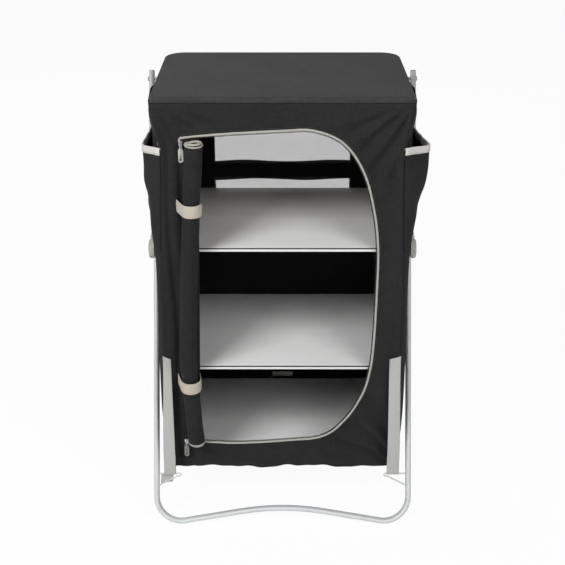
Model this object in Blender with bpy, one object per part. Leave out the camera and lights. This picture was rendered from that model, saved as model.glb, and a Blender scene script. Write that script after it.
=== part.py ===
# Folding camping kitchen cupboard: two crossed tube leg frames carry a top frame with a board,
# and a fabric body with three shelves hangs under it. Metres, +Z up, -Y is the door side.
# The origin lies on the ground, midway between the two foot bars.

import math

import bmesh
import bpy
from mathutils import Matrix, Vector, geometry

# Overall sizes
overall_height = 1.000
pivot_height_share = 0.586  # the bolts that cross the two leg frames
hinge_drop = 0.0550  # the rod at the front top, and the latches at the rear top
hinge_inset = 0.0169  # the rod behind the top frame's front ends
front_leg_half_width = 0.3000  # to the outside of the tube
leg_spacing = 0.0240  # between the two frames' tubes
body_front_depth = 0.1900  # door side of the fabric, ahead of the bolts
rear_extra = 0.0100  # the back stands this much further from the bolts
top_overhang = 0.0080  # past the rear leg frame
running_gap = 0.0003  # between faces that touch
bore_gap = 0.0003

# Leg tube, an oval whose broad way runs fore and aft
tube_width = 0.0130
tube_depth = 0.0220
tube_wall = 0.0013
tube_sides = 12
foot_bend = 0.0570
foot_rise = 0.0240  # how far the foot bar arches up in its middle
foot_arch_radius = 0.6000
rear_end_margin = 0.0100  # tube past the hinge rod
front_end_margin = 0.0170  # tube past the latch
end_spread = 0.0105  # the front frame's upper ends stand out by this
spread_start = 0.0900
spread_end = 0.2200
spread_bend = 0.1500
plug_head = 0.0020
plug_depth = 0.0050

# Top frame
rail_height = 0.0240
rail_width = 0.0130
rail_wall = 0.0013
rail_spacing = 0.0040  # between the rear leg frame and the top rails
rail_front_inset = 0.0080
rail_rear_inset = 0.0070
rail_corner_bend = 0.0280
board_thickness = 0.0100
cover_thickness = 0.0025
skirt_thickness = 0.0020
skirt_height = 0.0120
board_margin = 0.0010  # between board and skirt
rear_corner_radius = 0.0450

# Pins, blocks and bolts
rod_radius = 0.0040
rod_cap_radius = 0.0070
rod_cap_length = 0.0028
bolt_radius = 0.0038
bolt_head_radius = 0.0080
bolt_head_length = 0.0060
spacer_radius = 0.0080
hub_radius = 0.0230
hub_inset = 0.0030  # how far the hub reaches round the tube
hub_proud = 0.0105
hub_tongue_length = 0.0450
hub_tongue_width = 0.0140
hub_tongue_thickness = 0.0070
block_length = 0.0240
block_drop = 0.0120  # block below the hinge line
latch_radius = 0.0040
latch_flange_radius = 0.0090
latch_flange_thickness = 0.0020
rivet_radius = 0.0030
rivet_head_radius = 0.0060
rivet_head_height = 0.0025
boss_radius = 0.0095

# Fabric body
fabric_thickness = 0.0018
hem_height = 0.1080
hem_wave = 0.0030
seam_inset = 0.0025  # front seams inside the top's edge
pinch_inset = 0.0200
waist_inset = 0.0070
seam_gap = 0.0006
pinch_drop = 0.1150
side_bulge = 0.0135
fold_depth = 0.0050
fold_length = 0.0750
fold_foot_share = 0.3
drape_depth = 0.0035
drape_width = 0.0450
back_seam_inset = 0.0020
leg_slot_gap = 0.0040
grommet_gap = 0.0010

# Door
door_margin = 0.0650  # from the top's edge to the door's right edge
door_top_drop = 0.0720
door_left_drop = 0.0850
door_bottom = 0.1770
door_bottom_left = 0.1800
arch_height_share = 0.62  # where the right edge stands furthest out
flap_inset = 0.0990  # the opening's left edge at its top, behind the roll
flap_inset_low = 0.0790  # and at its foot
piping_radius = 0.0030
piping_lap = 0.0020  # panel left inside the piping
roll_top_drop = 0.0920
roll_bottom = 0.1880
roll_top_inset = 0.0910
roll_bottom_inset = 0.0700
roll_radius = 0.0195
tie_height = 0.0270
tie_thickness = 0.0015
tie_upper_drop = 0.2460
tie_lower = 0.3360
tie_lap = 0.0135
tie_gap = 0.0008
slider_width = 0.0090
slider_height = 0.0120
slider_thickness = 0.0050
slider_upper_inset = 0.0620
slider_upper_drop = 0.0970
slider_lower_inset = 0.0470
slider_lower_z = 0.1790
pull_length = 0.0330
pull_width = 0.0075
pull_thickness = 0.0012
pull_pin_radius = 0.0012

# Back wall
window_margin = 0.1070
window_upper_drop = 0.0650
window_upper_height = 0.2020
window_lower_drop = 0.3150
window_lower_height = 0.2050
window_thickness = 0.0008
loop_width = 0.0500
loop_height = 0.0120
loop_lift = 0.0060

# Shelves, by the height of their tops
shelf_upper_share = 0.6650
shelf_middle_share = 0.3740
shelf_lower_share = 0.1230
shelf_inset = 0.0040  # inside the top rails
shelf_front_inset = 0.0080
shelf_rear_inset = 0.0070
shelf_thickness = 0.0075
edge_thickness = 0.0025
hanger_gap = 0.0010
hanger_width = 0.0250
hanger_clearance = 0.0050  # between a band and the block beside it
webbing_thickness = 0.0015
ledge_length = 0.0140

# Pockets
pocket_drop = 0.1130
pocket_depth = 0.2270
pocket_rear = 0.0200
pocket_flare = 0.0320
pocket_gap = 0.0020  # between the side cloth and the pocket's edges
binding_height = 0.0150
binding_thickness = 0.0030

# Straps and their rings
strap_width = 0.0285
strap_top = 0.4050
strap_slant = 0.0080
strap_inset = 0.0270
ring_height = 0.1080
ring_drop = 0.0250
ring_reach = 0.0490
ring_wire = 0.0012
strap_tail = 0.0250

body_rear_depth = body_front_depth + rear_extra
rail_front_reach = body_front_depth - rail_front_inset
rail_rear_reach = body_rear_depth - rail_rear_inset
shelf_front_reach = body_front_depth - shelf_front_inset
shelf_rear_reach = body_rear_depth - shelf_rear_inset
rear_leg_half_width = front_leg_half_width - tube_width - leg_spacing
top_half_width = rear_leg_half_width + top_overhang
rail_half_width = rear_leg_half_width - tube_width - rail_spacing
shelf_half_width = rail_half_width - shelf_inset
back_half_width = top_half_width - rear_corner_radius - back_seam_inset
door_right = top_half_width - door_margin
flap_edge = top_half_width - flap_inset
flap_edge_low = top_half_width - flap_inset_low
roll_top_centre = top_half_width - roll_top_inset
roll_bottom_centre = top_half_width - roll_bottom_inset
slider_upper_x = top_half_width - slider_upper_inset
slider_lower_x = top_half_width - slider_lower_inset
window_half_width = top_half_width - window_margin
strap_inner = top_half_width - strap_inset
pivot_height = overall_height * pivot_height_share
hinge_height = overall_height - hinge_drop
hinge_y = -rail_front_reach + hinge_inset
latch_y = -hinge_y
leg_lean = math.atan2(-hinge_y, hinge_height - pivot_height)
seam_top_half_width = top_half_width - seam_inset
seam_foot_half_width = seam_top_half_width
seam_pinch_half_width = top_half_width - pinch_inset
seam_middle_half_width = top_half_width - waist_inset
pinch_height = overall_height - pinch_drop
door_top = overall_height - door_top_drop
door_top_left = overall_height - door_left_drop
roll_top = overall_height - roll_top_drop
tie_upper = overall_height - tie_upper_drop
slider_upper_z = overall_height - slider_upper_drop
window_upper_top = overall_height - window_upper_drop
window_upper_bottom = window_upper_top - window_upper_height
window_lower_top = overall_height - window_lower_drop
window_lower_bottom = window_lower_top - window_lower_height
shelf_heights = {"upper": overall_height * shelf_upper_share,
                 "middle": overall_height * shelf_middle_share,
                 "lower": overall_height * shelf_lower_share}
pocket_rim = overall_height - pocket_drop
pocket_bottom = pocket_rim - pocket_depth
boards_underside = overall_height - cover_thickness - running_gap - board_thickness
rail_middle_height = boards_underside - webbing_thickness - running_gap * 2 - rail_height / 2
panel_top = overall_height - skirt_height - running_gap
front_mid = -body_front_depth + fabric_thickness / 2
back_mid = body_rear_depth - fabric_thickness / 2
rail_middle = rail_half_width - rail_width / 2
front_leg_middle = front_leg_half_width - tube_width / 2
rear_leg_middle = rear_leg_half_width - tube_width / 2
cover_inner_half_width = top_half_width - skirt_thickness
board_half_width = cover_inner_half_width - board_margin
face_y = -body_front_depth - running_gap  # ahead of all the front panel's folds
left_and_right = {"left": -1, "right": 1}

colours = {
    "aluminium": ((0.62, 0.64, 0.65), 0.35, 0.9),
    "steel": ((0.55, 0.56, 0.57), 0.35, 0.9),
    "cloth": ((0.030, 0.031, 0.033), 0.9, 0.0),
    "mesh": ((0.20, 0.20, 0.20), 0.8, 0.0),
    "piping": ((0.42, 0.40, 0.37), 0.7, 0.0),
    "binding": ((0.66, 0.64, 0.61), 0.8, 0.0),
    "webbing": ((0.50, 0.50, 0.48), 0.8, 0.0),
    "tie": ((0.55, 0.51, 0.42), 0.8, 0.0),
    "shelf": ((0.52, 0.52, 0.53), 0.5, 0.0),
    "shelf_edge": ((0.75, 0.75, 0.75), 0.4, 0.0),
    "board": ((0.40, 0.32, 0.22), 0.7, 0.0),
    "grey_plastic": ((0.30, 0.29, 0.26), 0.5, 0.0),
    "black_plastic": ((0.03, 0.03, 0.03), 0.5, 0.0),
}
materials = {}


def clear_scene():
    for thing in list(bpy.data.objects):
        bpy.data.objects.remove(thing, do_unlink=True)


def material(name):
    if name not in materials:
        colour, roughness, metallic = colours[name]
        made = bpy.data.materials.new(name)
        made.use_nodes = True
        shader = made.node_tree.nodes["Principled BSDF"]
        shader.inputs["Base Color"].default_value = (*colour, 1.0)
        shader.inputs["Roughness"].default_value = roughness
        shader.inputs["Metallic"].default_value = metallic
        materials[name] = made
    return materials[name]


def add_object(name, verts, faces, finish, pivot=None, smooth=True):
    mesh = bpy.data.meshes.new(name)
    origin = Vector(pivot) if pivot else Vector((0, 0, 0))
    mesh.from_pydata([Vector(v) - origin for v in verts], [], faces)
    mesh.validate()
    if smooth:
        mesh.shade_smooth()
        mesh.set_sharp_from_angle(angle=math.radians(35))
    thing = bpy.data.objects.new(name, mesh)
    thing.location = origin
    if finish:
        mesh.materials.append(material(finish))
    bpy.context.collection.objects.link(thing)
    return thing


def cutter(thing):
    thing.hide_render = True
    thing.display_type = "WIRE"
    return thing


def combine(thing, other, operation):
    step = thing.modifiers.new(operation.lower(), "BOOLEAN")
    step.operation = operation
    step.solver = "EXACT"
    step.object = cutter(other)
    return thing


def turn_out(thing):
    work = bmesh.new()
    work.from_mesh(thing.data)
    bmesh.ops.recalc_face_normals(work, faces=work.faces)
    work.to_mesh(thing.data)
    work.free()
    return thing


def prism(name, outline, along, low, high, finish, smooth=False):
    """A closed outline of (a, b) points, drawn out along X, Y or Z."""
    def place(a, b, c):
        return {"X": (c, a, b), "Y": (a, c, b), "Z": (a, b, c)}[along]
    count = len(outline)
    verts = [place(a, b, low) for a, b in outline] + [place(a, b, high) for a, b in outline]
    faces = [tuple(range(count)), tuple(range(2 * count - 1, count - 1, -1))]
    faces += [(i, (i + 1) % count, count + (i + 1) % count, count + i) for i in range(count)]
    return turn_out(add_object(name, verts, faces, finish, smooth=smooth))


def round_outline(centre, radius_a, radius_b, sides, start=0.0):
    a, b = centre
    return [
        (a + radius_a * math.cos(start + math.tau * i / sides),
         b + radius_b * math.sin(start + math.tau * i / sides))
        for i in range(sides)
    ]


def box(name, low, high, finish):
    outline = [(low[0], low[1]), (high[0], low[1]), (high[0], high[1]), (low[0], high[1])]
    return prism(name, outline, "Z", low[2], high[2], finish)


def cross_pin(name, y, z, radius, x_from, x_to, finish, sides=16):
    return prism(name, round_outline((y, z), radius, radius, sides), "X", x_from, x_to, finish, True)


def join(things):
    """Separate closed bodies in one object."""
    verts, faces = [], []
    for thing in things:
        start = len(verts)
        place = thing.matrix_basis
        verts += [place @ v.co for v in thing.data.vertices]
        faces += [tuple(start + i for i in f.vertices) for f in thing.data.polygons]
    name = things[0].name
    for thing in things:
        bpy.data.objects.remove(thing, do_unlink=True)
    return add_object(name, verts, faces, None)


def rounded_path(corners, radii, steps):
    """Straight runs through 2-D corners, each inner corner an arc of its own radius."""
    points = [Vector(corners[0])]
    for before, here, after, radius in zip(corners, corners[1:], corners[2:], radii):
        here = Vector(here)
        into = (here - Vector(before)).normalized()
        out = (Vector(after) - here).normalized()
        turn = into.angle_signed(out)
        half = abs(turn) / 2
        centre_way = (out - into).normalized()
        centre = here + centre_way * radius / math.cos(half)
        start = here - into * radius * math.tan(half) - centre
        count = max(3, round(steps * abs(turn) / (math.pi / 2)))
        for i in range(count + 1):
            angle = -turn * i / count
            c, s = math.cos(angle), math.sin(angle)
            points.append(centre + Vector((start.x * c - start.y * s, start.x * s + start.y * c)))
    points.append(Vector(corners[-1]))
    return points


def tube_rings(path, across, deep, sides, place):
    """Oval rings along a path in a plane; place(point, offset in plane, offset out of it)."""
    rings = []
    for i, point in enumerate(path):
        before = path[max(i - 1, 0)]
        after = path[min(i + 1, len(path) - 1)]
        way = (after - before).normalized()
        side = Vector((way.y, -way.x))
        ring = []
        for k in range(sides):
            angle = math.tau * (k + 0.5) / sides
            ring.append(place(point + side * across * math.cos(angle), deep * math.sin(angle)))
        rings.append(ring)
    return rings


def hollow_tube(name, path, width, depth, wall, place, finish):
    outer = tube_rings(path, width / 2, depth / 2, tube_sides, place)
    inner = tube_rings(path, width / 2 - wall, depth / 2 - wall, tube_sides, place)
    verts = [v for ring in outer + inner for v in ring]
    n = tube_sides
    rows = len(path)
    faces = []
    for r in range(rows - 1):
        for k in range(n):
            a, b = r * n + k, r * n + (k + 1) % n
            faces.append((a, b, b + n, a + n))
            a, b = a + rows * n, b + rows * n
            faces.append((b, a, a + n, b + n))
    for r in (0, rows - 1):
        for k in range(n):
            a, b = r * n + k, r * n + (k + 1) % n
            faces.append((a, b, b + rows * n, a + rows * n))
    return turn_out(add_object(name, verts, faces, finish))


def stepped_plug(name, place, way, width, depth, wall, finish):
    """An end plug: an oval head on the tube's end and a smaller stem inside it."""
    n = tube_sides
    inner = wall + bore_gap
    steps = (
        (plug_head, width / 2, depth / 2),
        (0, width / 2, depth / 2),
        (0, width / 2 - inner, depth / 2 - inner),
        (-plug_depth, width / 2 - inner, depth / 2 - inner),
    )
    verts = []
    for out, a, b in steps:
        for k in range(n):
            angle = math.tau * (k + 0.5) / n
            verts.append(place(Vector((a * math.cos(angle), way * (out + running_gap))), b * math.sin(angle)))
    faces = [tuple(range(n)), tuple(range(4 * n - 1, 3 * n - 1, -1))]
    for r in range(3):
        faces += [(r * n + k, r * n + (k + 1) % n, (r + 1) * n + (k + 1) % n, (r + 1) * n + k)
                  for k in range(n)]
    return turn_out(add_object(name, verts, faces, finish))


def leg_plane(direction):
    """Places (x, distance down the leg from the bolts) and an offset square to the leg's plane.
    Direction is -1 for the frame whose foot is at the front and 1 for the other."""
    c, s = math.cos(leg_lean), math.sin(leg_lean)

    def place(point, out):
        return (point.x,
                direction * (point.y * s + out * c),
                pivot_height - point.y * c + out * s)
    return place


def leg_path(half_width, top, spread, foot):
    arch = foot_rise * 2
    one_side = [(half_width + spread, -top)]
    radii = []
    if spread:
        one_side += [(half_width + spread, -spread_end), (half_width, -spread_start)]
        radii += [spread_bend, spread_bend]
    one_side.append((half_width, foot))
    radii.append(foot_bend)
    corners = one_side + [(0, foot - arch)] + [(-x, y) for x, y in reversed(one_side)]
    return rounded_path(corners, radii + [foot_arch_radius] + radii[::-1], 7)


def leg_frame(name, half_width, top, spread, direction):
    place = leg_plane(direction)
    foot = pivot_height / math.cos(leg_lean)
    path = leg_path(half_width, top, spread, foot)
    rings = tube_rings(path, tube_width / 2, tube_depth / 2, tube_sides, place)
    lowest = min(v[2] for ring in rings for v in ring)
    path = leg_path(half_width, top, spread, foot + lowest / math.cos(leg_lean))
    return hollow_tube(name, path, tube_width, tube_depth, tube_wall, place, "aluminium")


def leg_plugs(name, half_width, top, direction):
    place = leg_plane(direction)
    for label, side in left_and_right.items():
        start = Vector((side * half_width, -top))
        stepped_plug(name + label, lambda p, out, start=start: place(p + start, out),
                     -1, tube_width, tube_depth, tube_wall, "grey_plastic")


def bore(thing, y, z, radius, reach):
    return combine(thing, cross_pin("bore", y, z, radius, -reach, reach, None), "DIFFERENCE")


hinge_distance = (hinge_height - pivot_height) / math.cos(leg_lean)
rear_leg_top = hinge_distance + rear_end_margin
front_leg_top = hinge_distance + front_end_margin
overrun = front_leg_half_width + end_spread + tube_depth


def make_leg_frames():
    rear = leg_frame("rear_leg_frame", rear_leg_middle, rear_leg_top, 0, 1)
    bore(rear, 0, pivot_height, bolt_radius + bore_gap, overrun)
    bore(rear, hinge_y, hinge_height, rod_radius + bore_gap, overrun)
    leg_plugs("rear_leg_plug_", rear_leg_middle, rear_leg_top, 1)

    front = leg_frame("front_leg_frame", front_leg_middle, front_leg_top, end_spread, -1)
    bore(front, 0, pivot_height, bolt_radius + bore_gap, overrun)
    bore(front, latch_y, hinge_height, rivet_radius + bore_gap, overrun)
    leg_plugs("front_leg_plug_", front_leg_middle + end_spread, front_leg_top, -1)


def make_pivots():
    bolt_end = front_leg_half_width + hub_proud - running_gap
    head_start = rear_leg_half_width - tube_width - running_gap - bolt_head_length
    head_end = head_start + bolt_head_length
    for name, side in left_and_right.items():
        turned_pin("pivot_bolt_" + name, 0, pivot_height, side, [
            (head_start, bolt_head_radius), (head_end, bolt_head_radius),
            (head_end, bolt_radius), (bolt_end, bolt_radius)], "steel")
        bush("pivot_spacer_" + name, 0, pivot_height, side, rear_leg_half_width + running_gap,
             front_leg_half_width - tube_width - running_gap,
             bolt_radius + bore_gap, spacer_radius, "black_plastic")
        make_hub("hub_" + name, side)


def turned_pin(name, y, z, side, steps, finish, sides=16):
    """A solid of revolution about a line along X: (distance out, radius) steps."""
    verts, faces = [], []
    for x, radius in steps:
        verts += [(side * x, y + radius * math.cos(math.tau * k / sides),
                   z + radius * math.sin(math.tau * k / sides)) for k in range(sides)]
    for r in range(len(steps) - 1):
        faces += [(r * sides + k, r * sides + (k + 1) % sides,
                   (r + 1) * sides + (k + 1) % sides, (r + 1) * sides + k) for k in range(sides)]
    last = (len(steps) - 1) * sides
    faces += [tuple(range(sides)), tuple(last + k for k in range(sides - 1, -1, -1))]
    return turn_out(add_object(name, verts, faces, finish))


def bush(name, y, z, side, x_from, x_to, inner, outer, finish, sides=16):
    verts, faces = [], []
    for x, radius in ((x_from, inner), (x_from, outer), (x_to, outer), (x_to, inner)):
        verts += [(side * x, y + radius * math.cos(math.tau * k / sides),
                   z + radius * math.sin(math.tau * k / sides)) for k in range(sides)]
    for r in range(4):
        faces += [(r * sides + k, r * sides + (k + 1) % sides,
                   (r + 1) % 4 * sides + (k + 1) % sides, (r + 1) % 4 * sides + k)
                  for k in range(sides)]
    return turn_out(add_object(name, verts, faces, finish))


def make_hub(name, side):
    """A moulded disc that grips the tube's outer half, with a tongue up the leg."""
    inside = front_leg_half_width - hub_inset
    outside = front_leg_half_width + hub_proud
    hub = cross_pin(name, 0, pivot_height, hub_radius, side * inside, side * outside,
                    "grey_plastic", 24)
    place = leg_plane(-1)
    tongue_from = front_leg_half_width + running_gap
    tongue = []
    for x in (tongue_from, tongue_from + hub_tongue_thickness):
        for down, out in ((0, -1), (0, 1), (-hub_tongue_length, 1), (-hub_tongue_length, -1)):
            tongue.append(place(Vector((side * x, down)), out * hub_tongue_width / 2))
    faces = [(0, 1, 2, 3), (7, 6, 5, 4), (0, 4, 5, 1), (1, 5, 6, 2), (2, 6, 7, 3), (3, 7, 4, 0)]
    combine(hub, turn_out(add_object("tongue", tongue, faces, None)), "UNION")
    reach = hub_radius * 2
    path = [Vector((side * front_leg_middle, -reach)), Vector((side * front_leg_middle, reach))]
    combine(hub, oval_bar("channel", path, tube_width / 2 + bore_gap, tube_depth / 2 + bore_gap,
                          place), "DIFFERENCE")
    return bore(hub, 0, pivot_height, bolt_radius + bore_gap, overrun)


def oval_bar(name, path, across, deep, place, finish=None):
    rings = tube_rings(path, across, deep, tube_sides, place)
    n = tube_sides
    verts = [v for ring in rings for v in ring]
    faces = [tuple(range(n)), tuple(range(len(verts) - 1, len(verts) - n - 1, -1))]
    for r in range(len(rings) - 1):
        faces += [(r * n + k, r * n + (k + 1) % n, (r + 1) * n + (k + 1) % n, (r + 1) * n + k)
                  for k in range(n)]
    return turn_out(add_object(name, verts, faces, finish))


def rail_plane(point, out):
    return (point.x, point.y, rail_middle_height + out)


def make_top_frame():
    rear = rail_rear_reach - rail_width / 2
    corners = [(rail_middle, -rail_front_reach), (rail_middle, rear),
               (-rail_middle, rear), (-rail_middle, -rail_front_reach)]
    path = rounded_path(corners, [rail_corner_bend] * 2, 4)
    hollow_tube("top_frame", path, rail_width, rail_height, rail_wall, rail_plane, "aluminium")
    for name, side in left_and_right.items():
        start = Vector((side * rail_middle, -rail_front_reach))
        stepped_plug("top_frame_plug_" + name, lambda p, out, start=start: rail_plane(p + start, out),
                     -1, rail_width, rail_height, rail_wall, "black_plastic")

    block_top = rail_middle_height - rail_height / 2 - running_gap
    block_low = hinge_height - block_drop
    leg_face = rear_leg_half_width - tube_width - running_gap
    boss_end = leg_face - running_gap
    end_face = front_leg_half_width + end_spread
    for name, side in left_and_right.items():
        inner = side * (rail_half_width - rail_width)
        outer = side * rail_half_width
        low, high = min(inner, outer), max(inner, outer)
        block = box("hinge_block_" + name,
                    (low, hinge_y - block_length / 2, block_low),
                    (high, hinge_y + block_length / 2, block_top), "black_plastic")
        boss = turned_pin("boss", hinge_y, hinge_height, side, [
            (rail_half_width - rail_width / 2, boss_radius), (boss_end, boss_radius)], None)
        combine(block, boss, "UNION")
        bore(block, hinge_y, hinge_height, rod_radius + bore_gap, overrun)

        latch = box("latch_" + name,
                    (low, latch_y - block_length / 2, block_low),
                    (high, latch_y + block_length / 2, block_top), "black_plastic")
        stud_end = end_face - tube_width - running_gap
        flange = top_half_width + side_bulge / 2
        stud = turned_pin("stud", latch_y, hinge_height, side, [
            (rail_half_width - rail_width / 2, latch_radius), (flange, latch_radius),
            (flange, latch_flange_radius), (flange + latch_flange_thickness, latch_flange_radius),
            (flange + latch_flange_thickness, latch_radius), (stud_end, latch_radius)], None)
        combine(latch, stud, "UNION")

        turned_pin("front_leg_rivet_" + name, latch_y, hinge_height, side, [
            (end_face - tube_width, rivet_radius), (end_face + running_gap, rivet_radius),
            (end_face + running_gap, rivet_head_radius),
            (end_face + rivet_head_height / 2, rivet_head_radius),
            (end_face + rivet_head_height, rivet_radius)], "steel")

    rod_end = rear_leg_half_width + running_gap
    head_end = rod_end + rod_cap_length
    turned_pin("hinge_rod", hinge_y, hinge_height, 1, [
        (-head_end, rod_cap_radius), (-rod_end, rod_cap_radius), (-rod_end, rod_radius),
        (rod_end, rod_radius), (rod_end, rod_cap_radius), (head_end, rod_cap_radius)], "steel")


def top_outline(half_width, front, rear, radius):
    """Sharp corners at the front and round ones at the rear."""
    points = [(-half_width, -front), (half_width, -front)]
    for i in range(7):
        turn = math.pi / 2 * i / 6
        points.append((half_width - radius + radius * math.cos(turn), rear - radius + radius * math.sin(turn)))
    return points + [(-x, y) for x, y in reversed(points[2:])]


def make_top():
    inset = skirt_thickness + board_margin
    outline = top_outline(board_half_width, body_front_depth - inset, body_rear_depth - inset,
                          rear_corner_radius - inset)
    prism("top_board", outline, "Z", boards_underside, boards_underside + board_thickness, "board")
    outline = top_outline(top_half_width, body_front_depth, body_rear_depth, rear_corner_radius)
    cover = prism("top_cover", outline, "Z", overall_height - skirt_height, overall_height, "cloth")
    inner = top_outline(cover_inner_half_width, body_front_depth - skirt_thickness,
                        body_rear_depth - skirt_thickness, rear_corner_radius - skirt_thickness)
    hollow = prism("hollow", inner, "Z", overall_height - skirt_height * 2,
                   overall_height - cover_thickness, None)
    combine(cover, hollow, "DIFFERENCE")


def between(a, b, share):
    return a + (b - a) * share


def eased(share):
    share = min(max(share, 0), 1)
    return share * share * (3 - 2 * share)


def seam_half_width(z):
    """Half the width between the front seams, which the fabric draws in under the top."""
    middle = (pinch_height + hem_height) / 2
    if z > pinch_height:
        return between(seam_pinch_half_width, seam_top_half_width, eased((z - pinch_height) / (panel_top - pinch_height)))
    if z > middle:
        return between(seam_middle_half_width, seam_pinch_half_width, eased((z - middle) / (pinch_height - middle)))
    return between(seam_foot_half_width, seam_middle_half_width, eased((z - hem_height) / (middle - hem_height)))


def hem(x):
    wave = math.sin(x / top_half_width * math.tau * 1.3)
    return hem_height + hem_wave * wave * (1 - abs(x) / seam_foot_half_width)


def seam_levels():
    shares = (0.0, 0.05, 0.12, 0.22, 0.34, 0.46, 0.58, 0.70, 0.80, 0.86, 0.90, 0.95, 1.0)
    return [between(hem_height, panel_top, share) for share in shares]


def hump(share):
    share = min(max(share, 0), 1)
    return 4 * share * (1 - share)


def front_y(x, z):
    """Middle of the front panel's cloth: soft upright folds at the left, slanting drapes at the
    right, none at the seams."""
    calm = eased((panel_top - z) / fold_length) * eased((z - hem_height) / fold_length + fold_foot_share)
    reach = seam_half_width(z)
    left = hump((-x - slider_lower_x) / (reach - slider_lower_x))
    right = hump((x - door_right * 0.85) / (reach - door_right * 0.85))
    slant = math.sin((x * 0.8 + z * 0.6) / fold_length * math.tau)
    upright = math.sin(x / drape_width * math.tau)
    depth = fold_depth * right * (0.5 + 0.5 * slant) + drape_depth * left * (0.5 + 0.5 * upright)
    return front_mid + depth * calm


def side_section(z):
    """Outline of the side cloth from the front seam round the rear corner, at one height."""
    start = seam_half_width(z) + seam_gap + fabric_thickness / 2
    low = eased((z - hem_height) / (pinch_height - hem_height) * 4 + 0.2)
    high = eased((panel_top - z) / (panel_top - pinch_height))
    top = top_half_width - fabric_thickness / 2
    full = top + side_bulge * low * high
    radius = rear_corner_radius - fabric_thickness / 2
    rear = body_rear_depth - fabric_thickness / 2
    front = front_y(seam_half_width(z), z)
    depth = rear - radius - front
    corner = max(start, between(top, full, 0.25))
    points = [(start, front), (between(start, corner, 0.6), front + depth * 0.03), (corner, front + depth * 0.09)]
    bulge_shares = ((0.25, 0.7), (0.45, 1.0), (0.65, 0.95), (0.82, 0.55))
    points += [(between(top, full, out), front + depth * along) for along, out in bulge_shares]
    for i in range(5):
        turn = math.pi / 2 * i / 4
        points.append((top - radius + radius * math.cos(turn), rear - radius + radius * math.sin(turn)))
    points.append((back_half_width + running_gap, rear))
    return points


def cloth_sheet(name, rows, thickness, finish, closed_rows=False):
    """A sheet through rows of points, given its thickness."""
    columns = len(rows[0])
    verts = [p for row in rows for p in row]
    faces = []
    for r in range(len(rows) - 1):
        for c in range(columns if closed_rows else columns - 1):
            a, b = r * columns + c, r * columns + (c + 1) % columns
            faces.append((a, b, b + columns, a + columns))
    sheet = turn_out(add_object(name, verts, faces, finish))
    step = sheet.modifiers.new("thickness", "SOLIDIFY")
    step.thickness = thickness
    step.offset = 0
    return sheet


def leg_slot_cutter():
    place = leg_plane(1)
    path_low = hinge_distance
    things = []
    for side in left_and_right.values():
        path = [Vector((side * rear_leg_middle, -path_low)), Vector((side * rear_leg_middle, path_low * 2))]
        things.append(oval_bar("leg_slot", path, tube_width / 2 + leg_slot_gap,
                               tube_depth / 2 + leg_slot_gap, place))
    return join(things)


def make_side_panels():
    for name, side in left_and_right.items():
        rows = [[(side * x, y, z) for x, y in side_section(z)] for z in seam_levels()]
        panel = cloth_sheet("side_panel_" + name, rows, fabric_thickness, "cloth")
        combine(panel, leg_slot_cutter(), "DIFFERENCE")
        bore(panel, 0, pivot_height, spacer_radius + grommet_gap, overrun)
        bore(panel, latch_y, hinge_height, latch_radius + grommet_gap, overrun)


def make_back_wall():
    half_thickness = fabric_thickness / 2
    panel = box("back_panel", (-back_half_width, back_mid - half_thickness, hem_height),
                (back_half_width, back_mid + half_thickness, panel_top), "cloth")
    for name, low, high in (("upper", window_upper_bottom, window_upper_top),
                            ("lower", window_lower_bottom, window_lower_top)):
        hole = box("hole", (-window_half_width, back_mid - fabric_thickness, low),
                   (window_half_width, back_mid + fabric_thickness, high), None)
        combine(panel, hole, "DIFFERENCE")
        box("window_" + name,
            (-window_half_width + running_gap, back_mid - window_thickness / 2, low + running_gap),
            (window_half_width - running_gap, back_mid + window_thickness / 2, high - running_gap), "mesh")
    inner_face = back_mid - half_thickness - running_gap
    loop_low = shelf_heights["lower"] + loop_lift
    box("back_loop", (-loop_width / 2, inner_face - webbing_thickness, loop_low),
        (loop_width / 2, inner_face, loop_low + loop_height), "webbing")


def make_bottom_panel():
    ledge_low = shelf_heights["lower"] - shelf_thickness - webbing_thickness - running_gap * 2
    high = ledge_low - running_gap
    margin = fabric_thickness * 1.5
    half = seam_foot_half_width - margin
    front = body_front_depth - fold_depth - margin
    outline = top_outline(half, front, body_rear_depth - margin, rear_corner_radius)
    panel = prism("bottom_panel", outline, "Z", high - fabric_thickness, high, "cloth")
    combine(panel, leg_slot_cutter(), "DIFFERENCE")


def curve_points(knots, count):
    """Points along one Bezier stretch: knot, handle, handle, knot."""
    a, b, c, d = (Vector((x, z, 0)) for x, z in knots)
    return [(p.x, p.y) for p in geometry.interpolate_bezier(a, b, c, d, count)]


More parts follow.
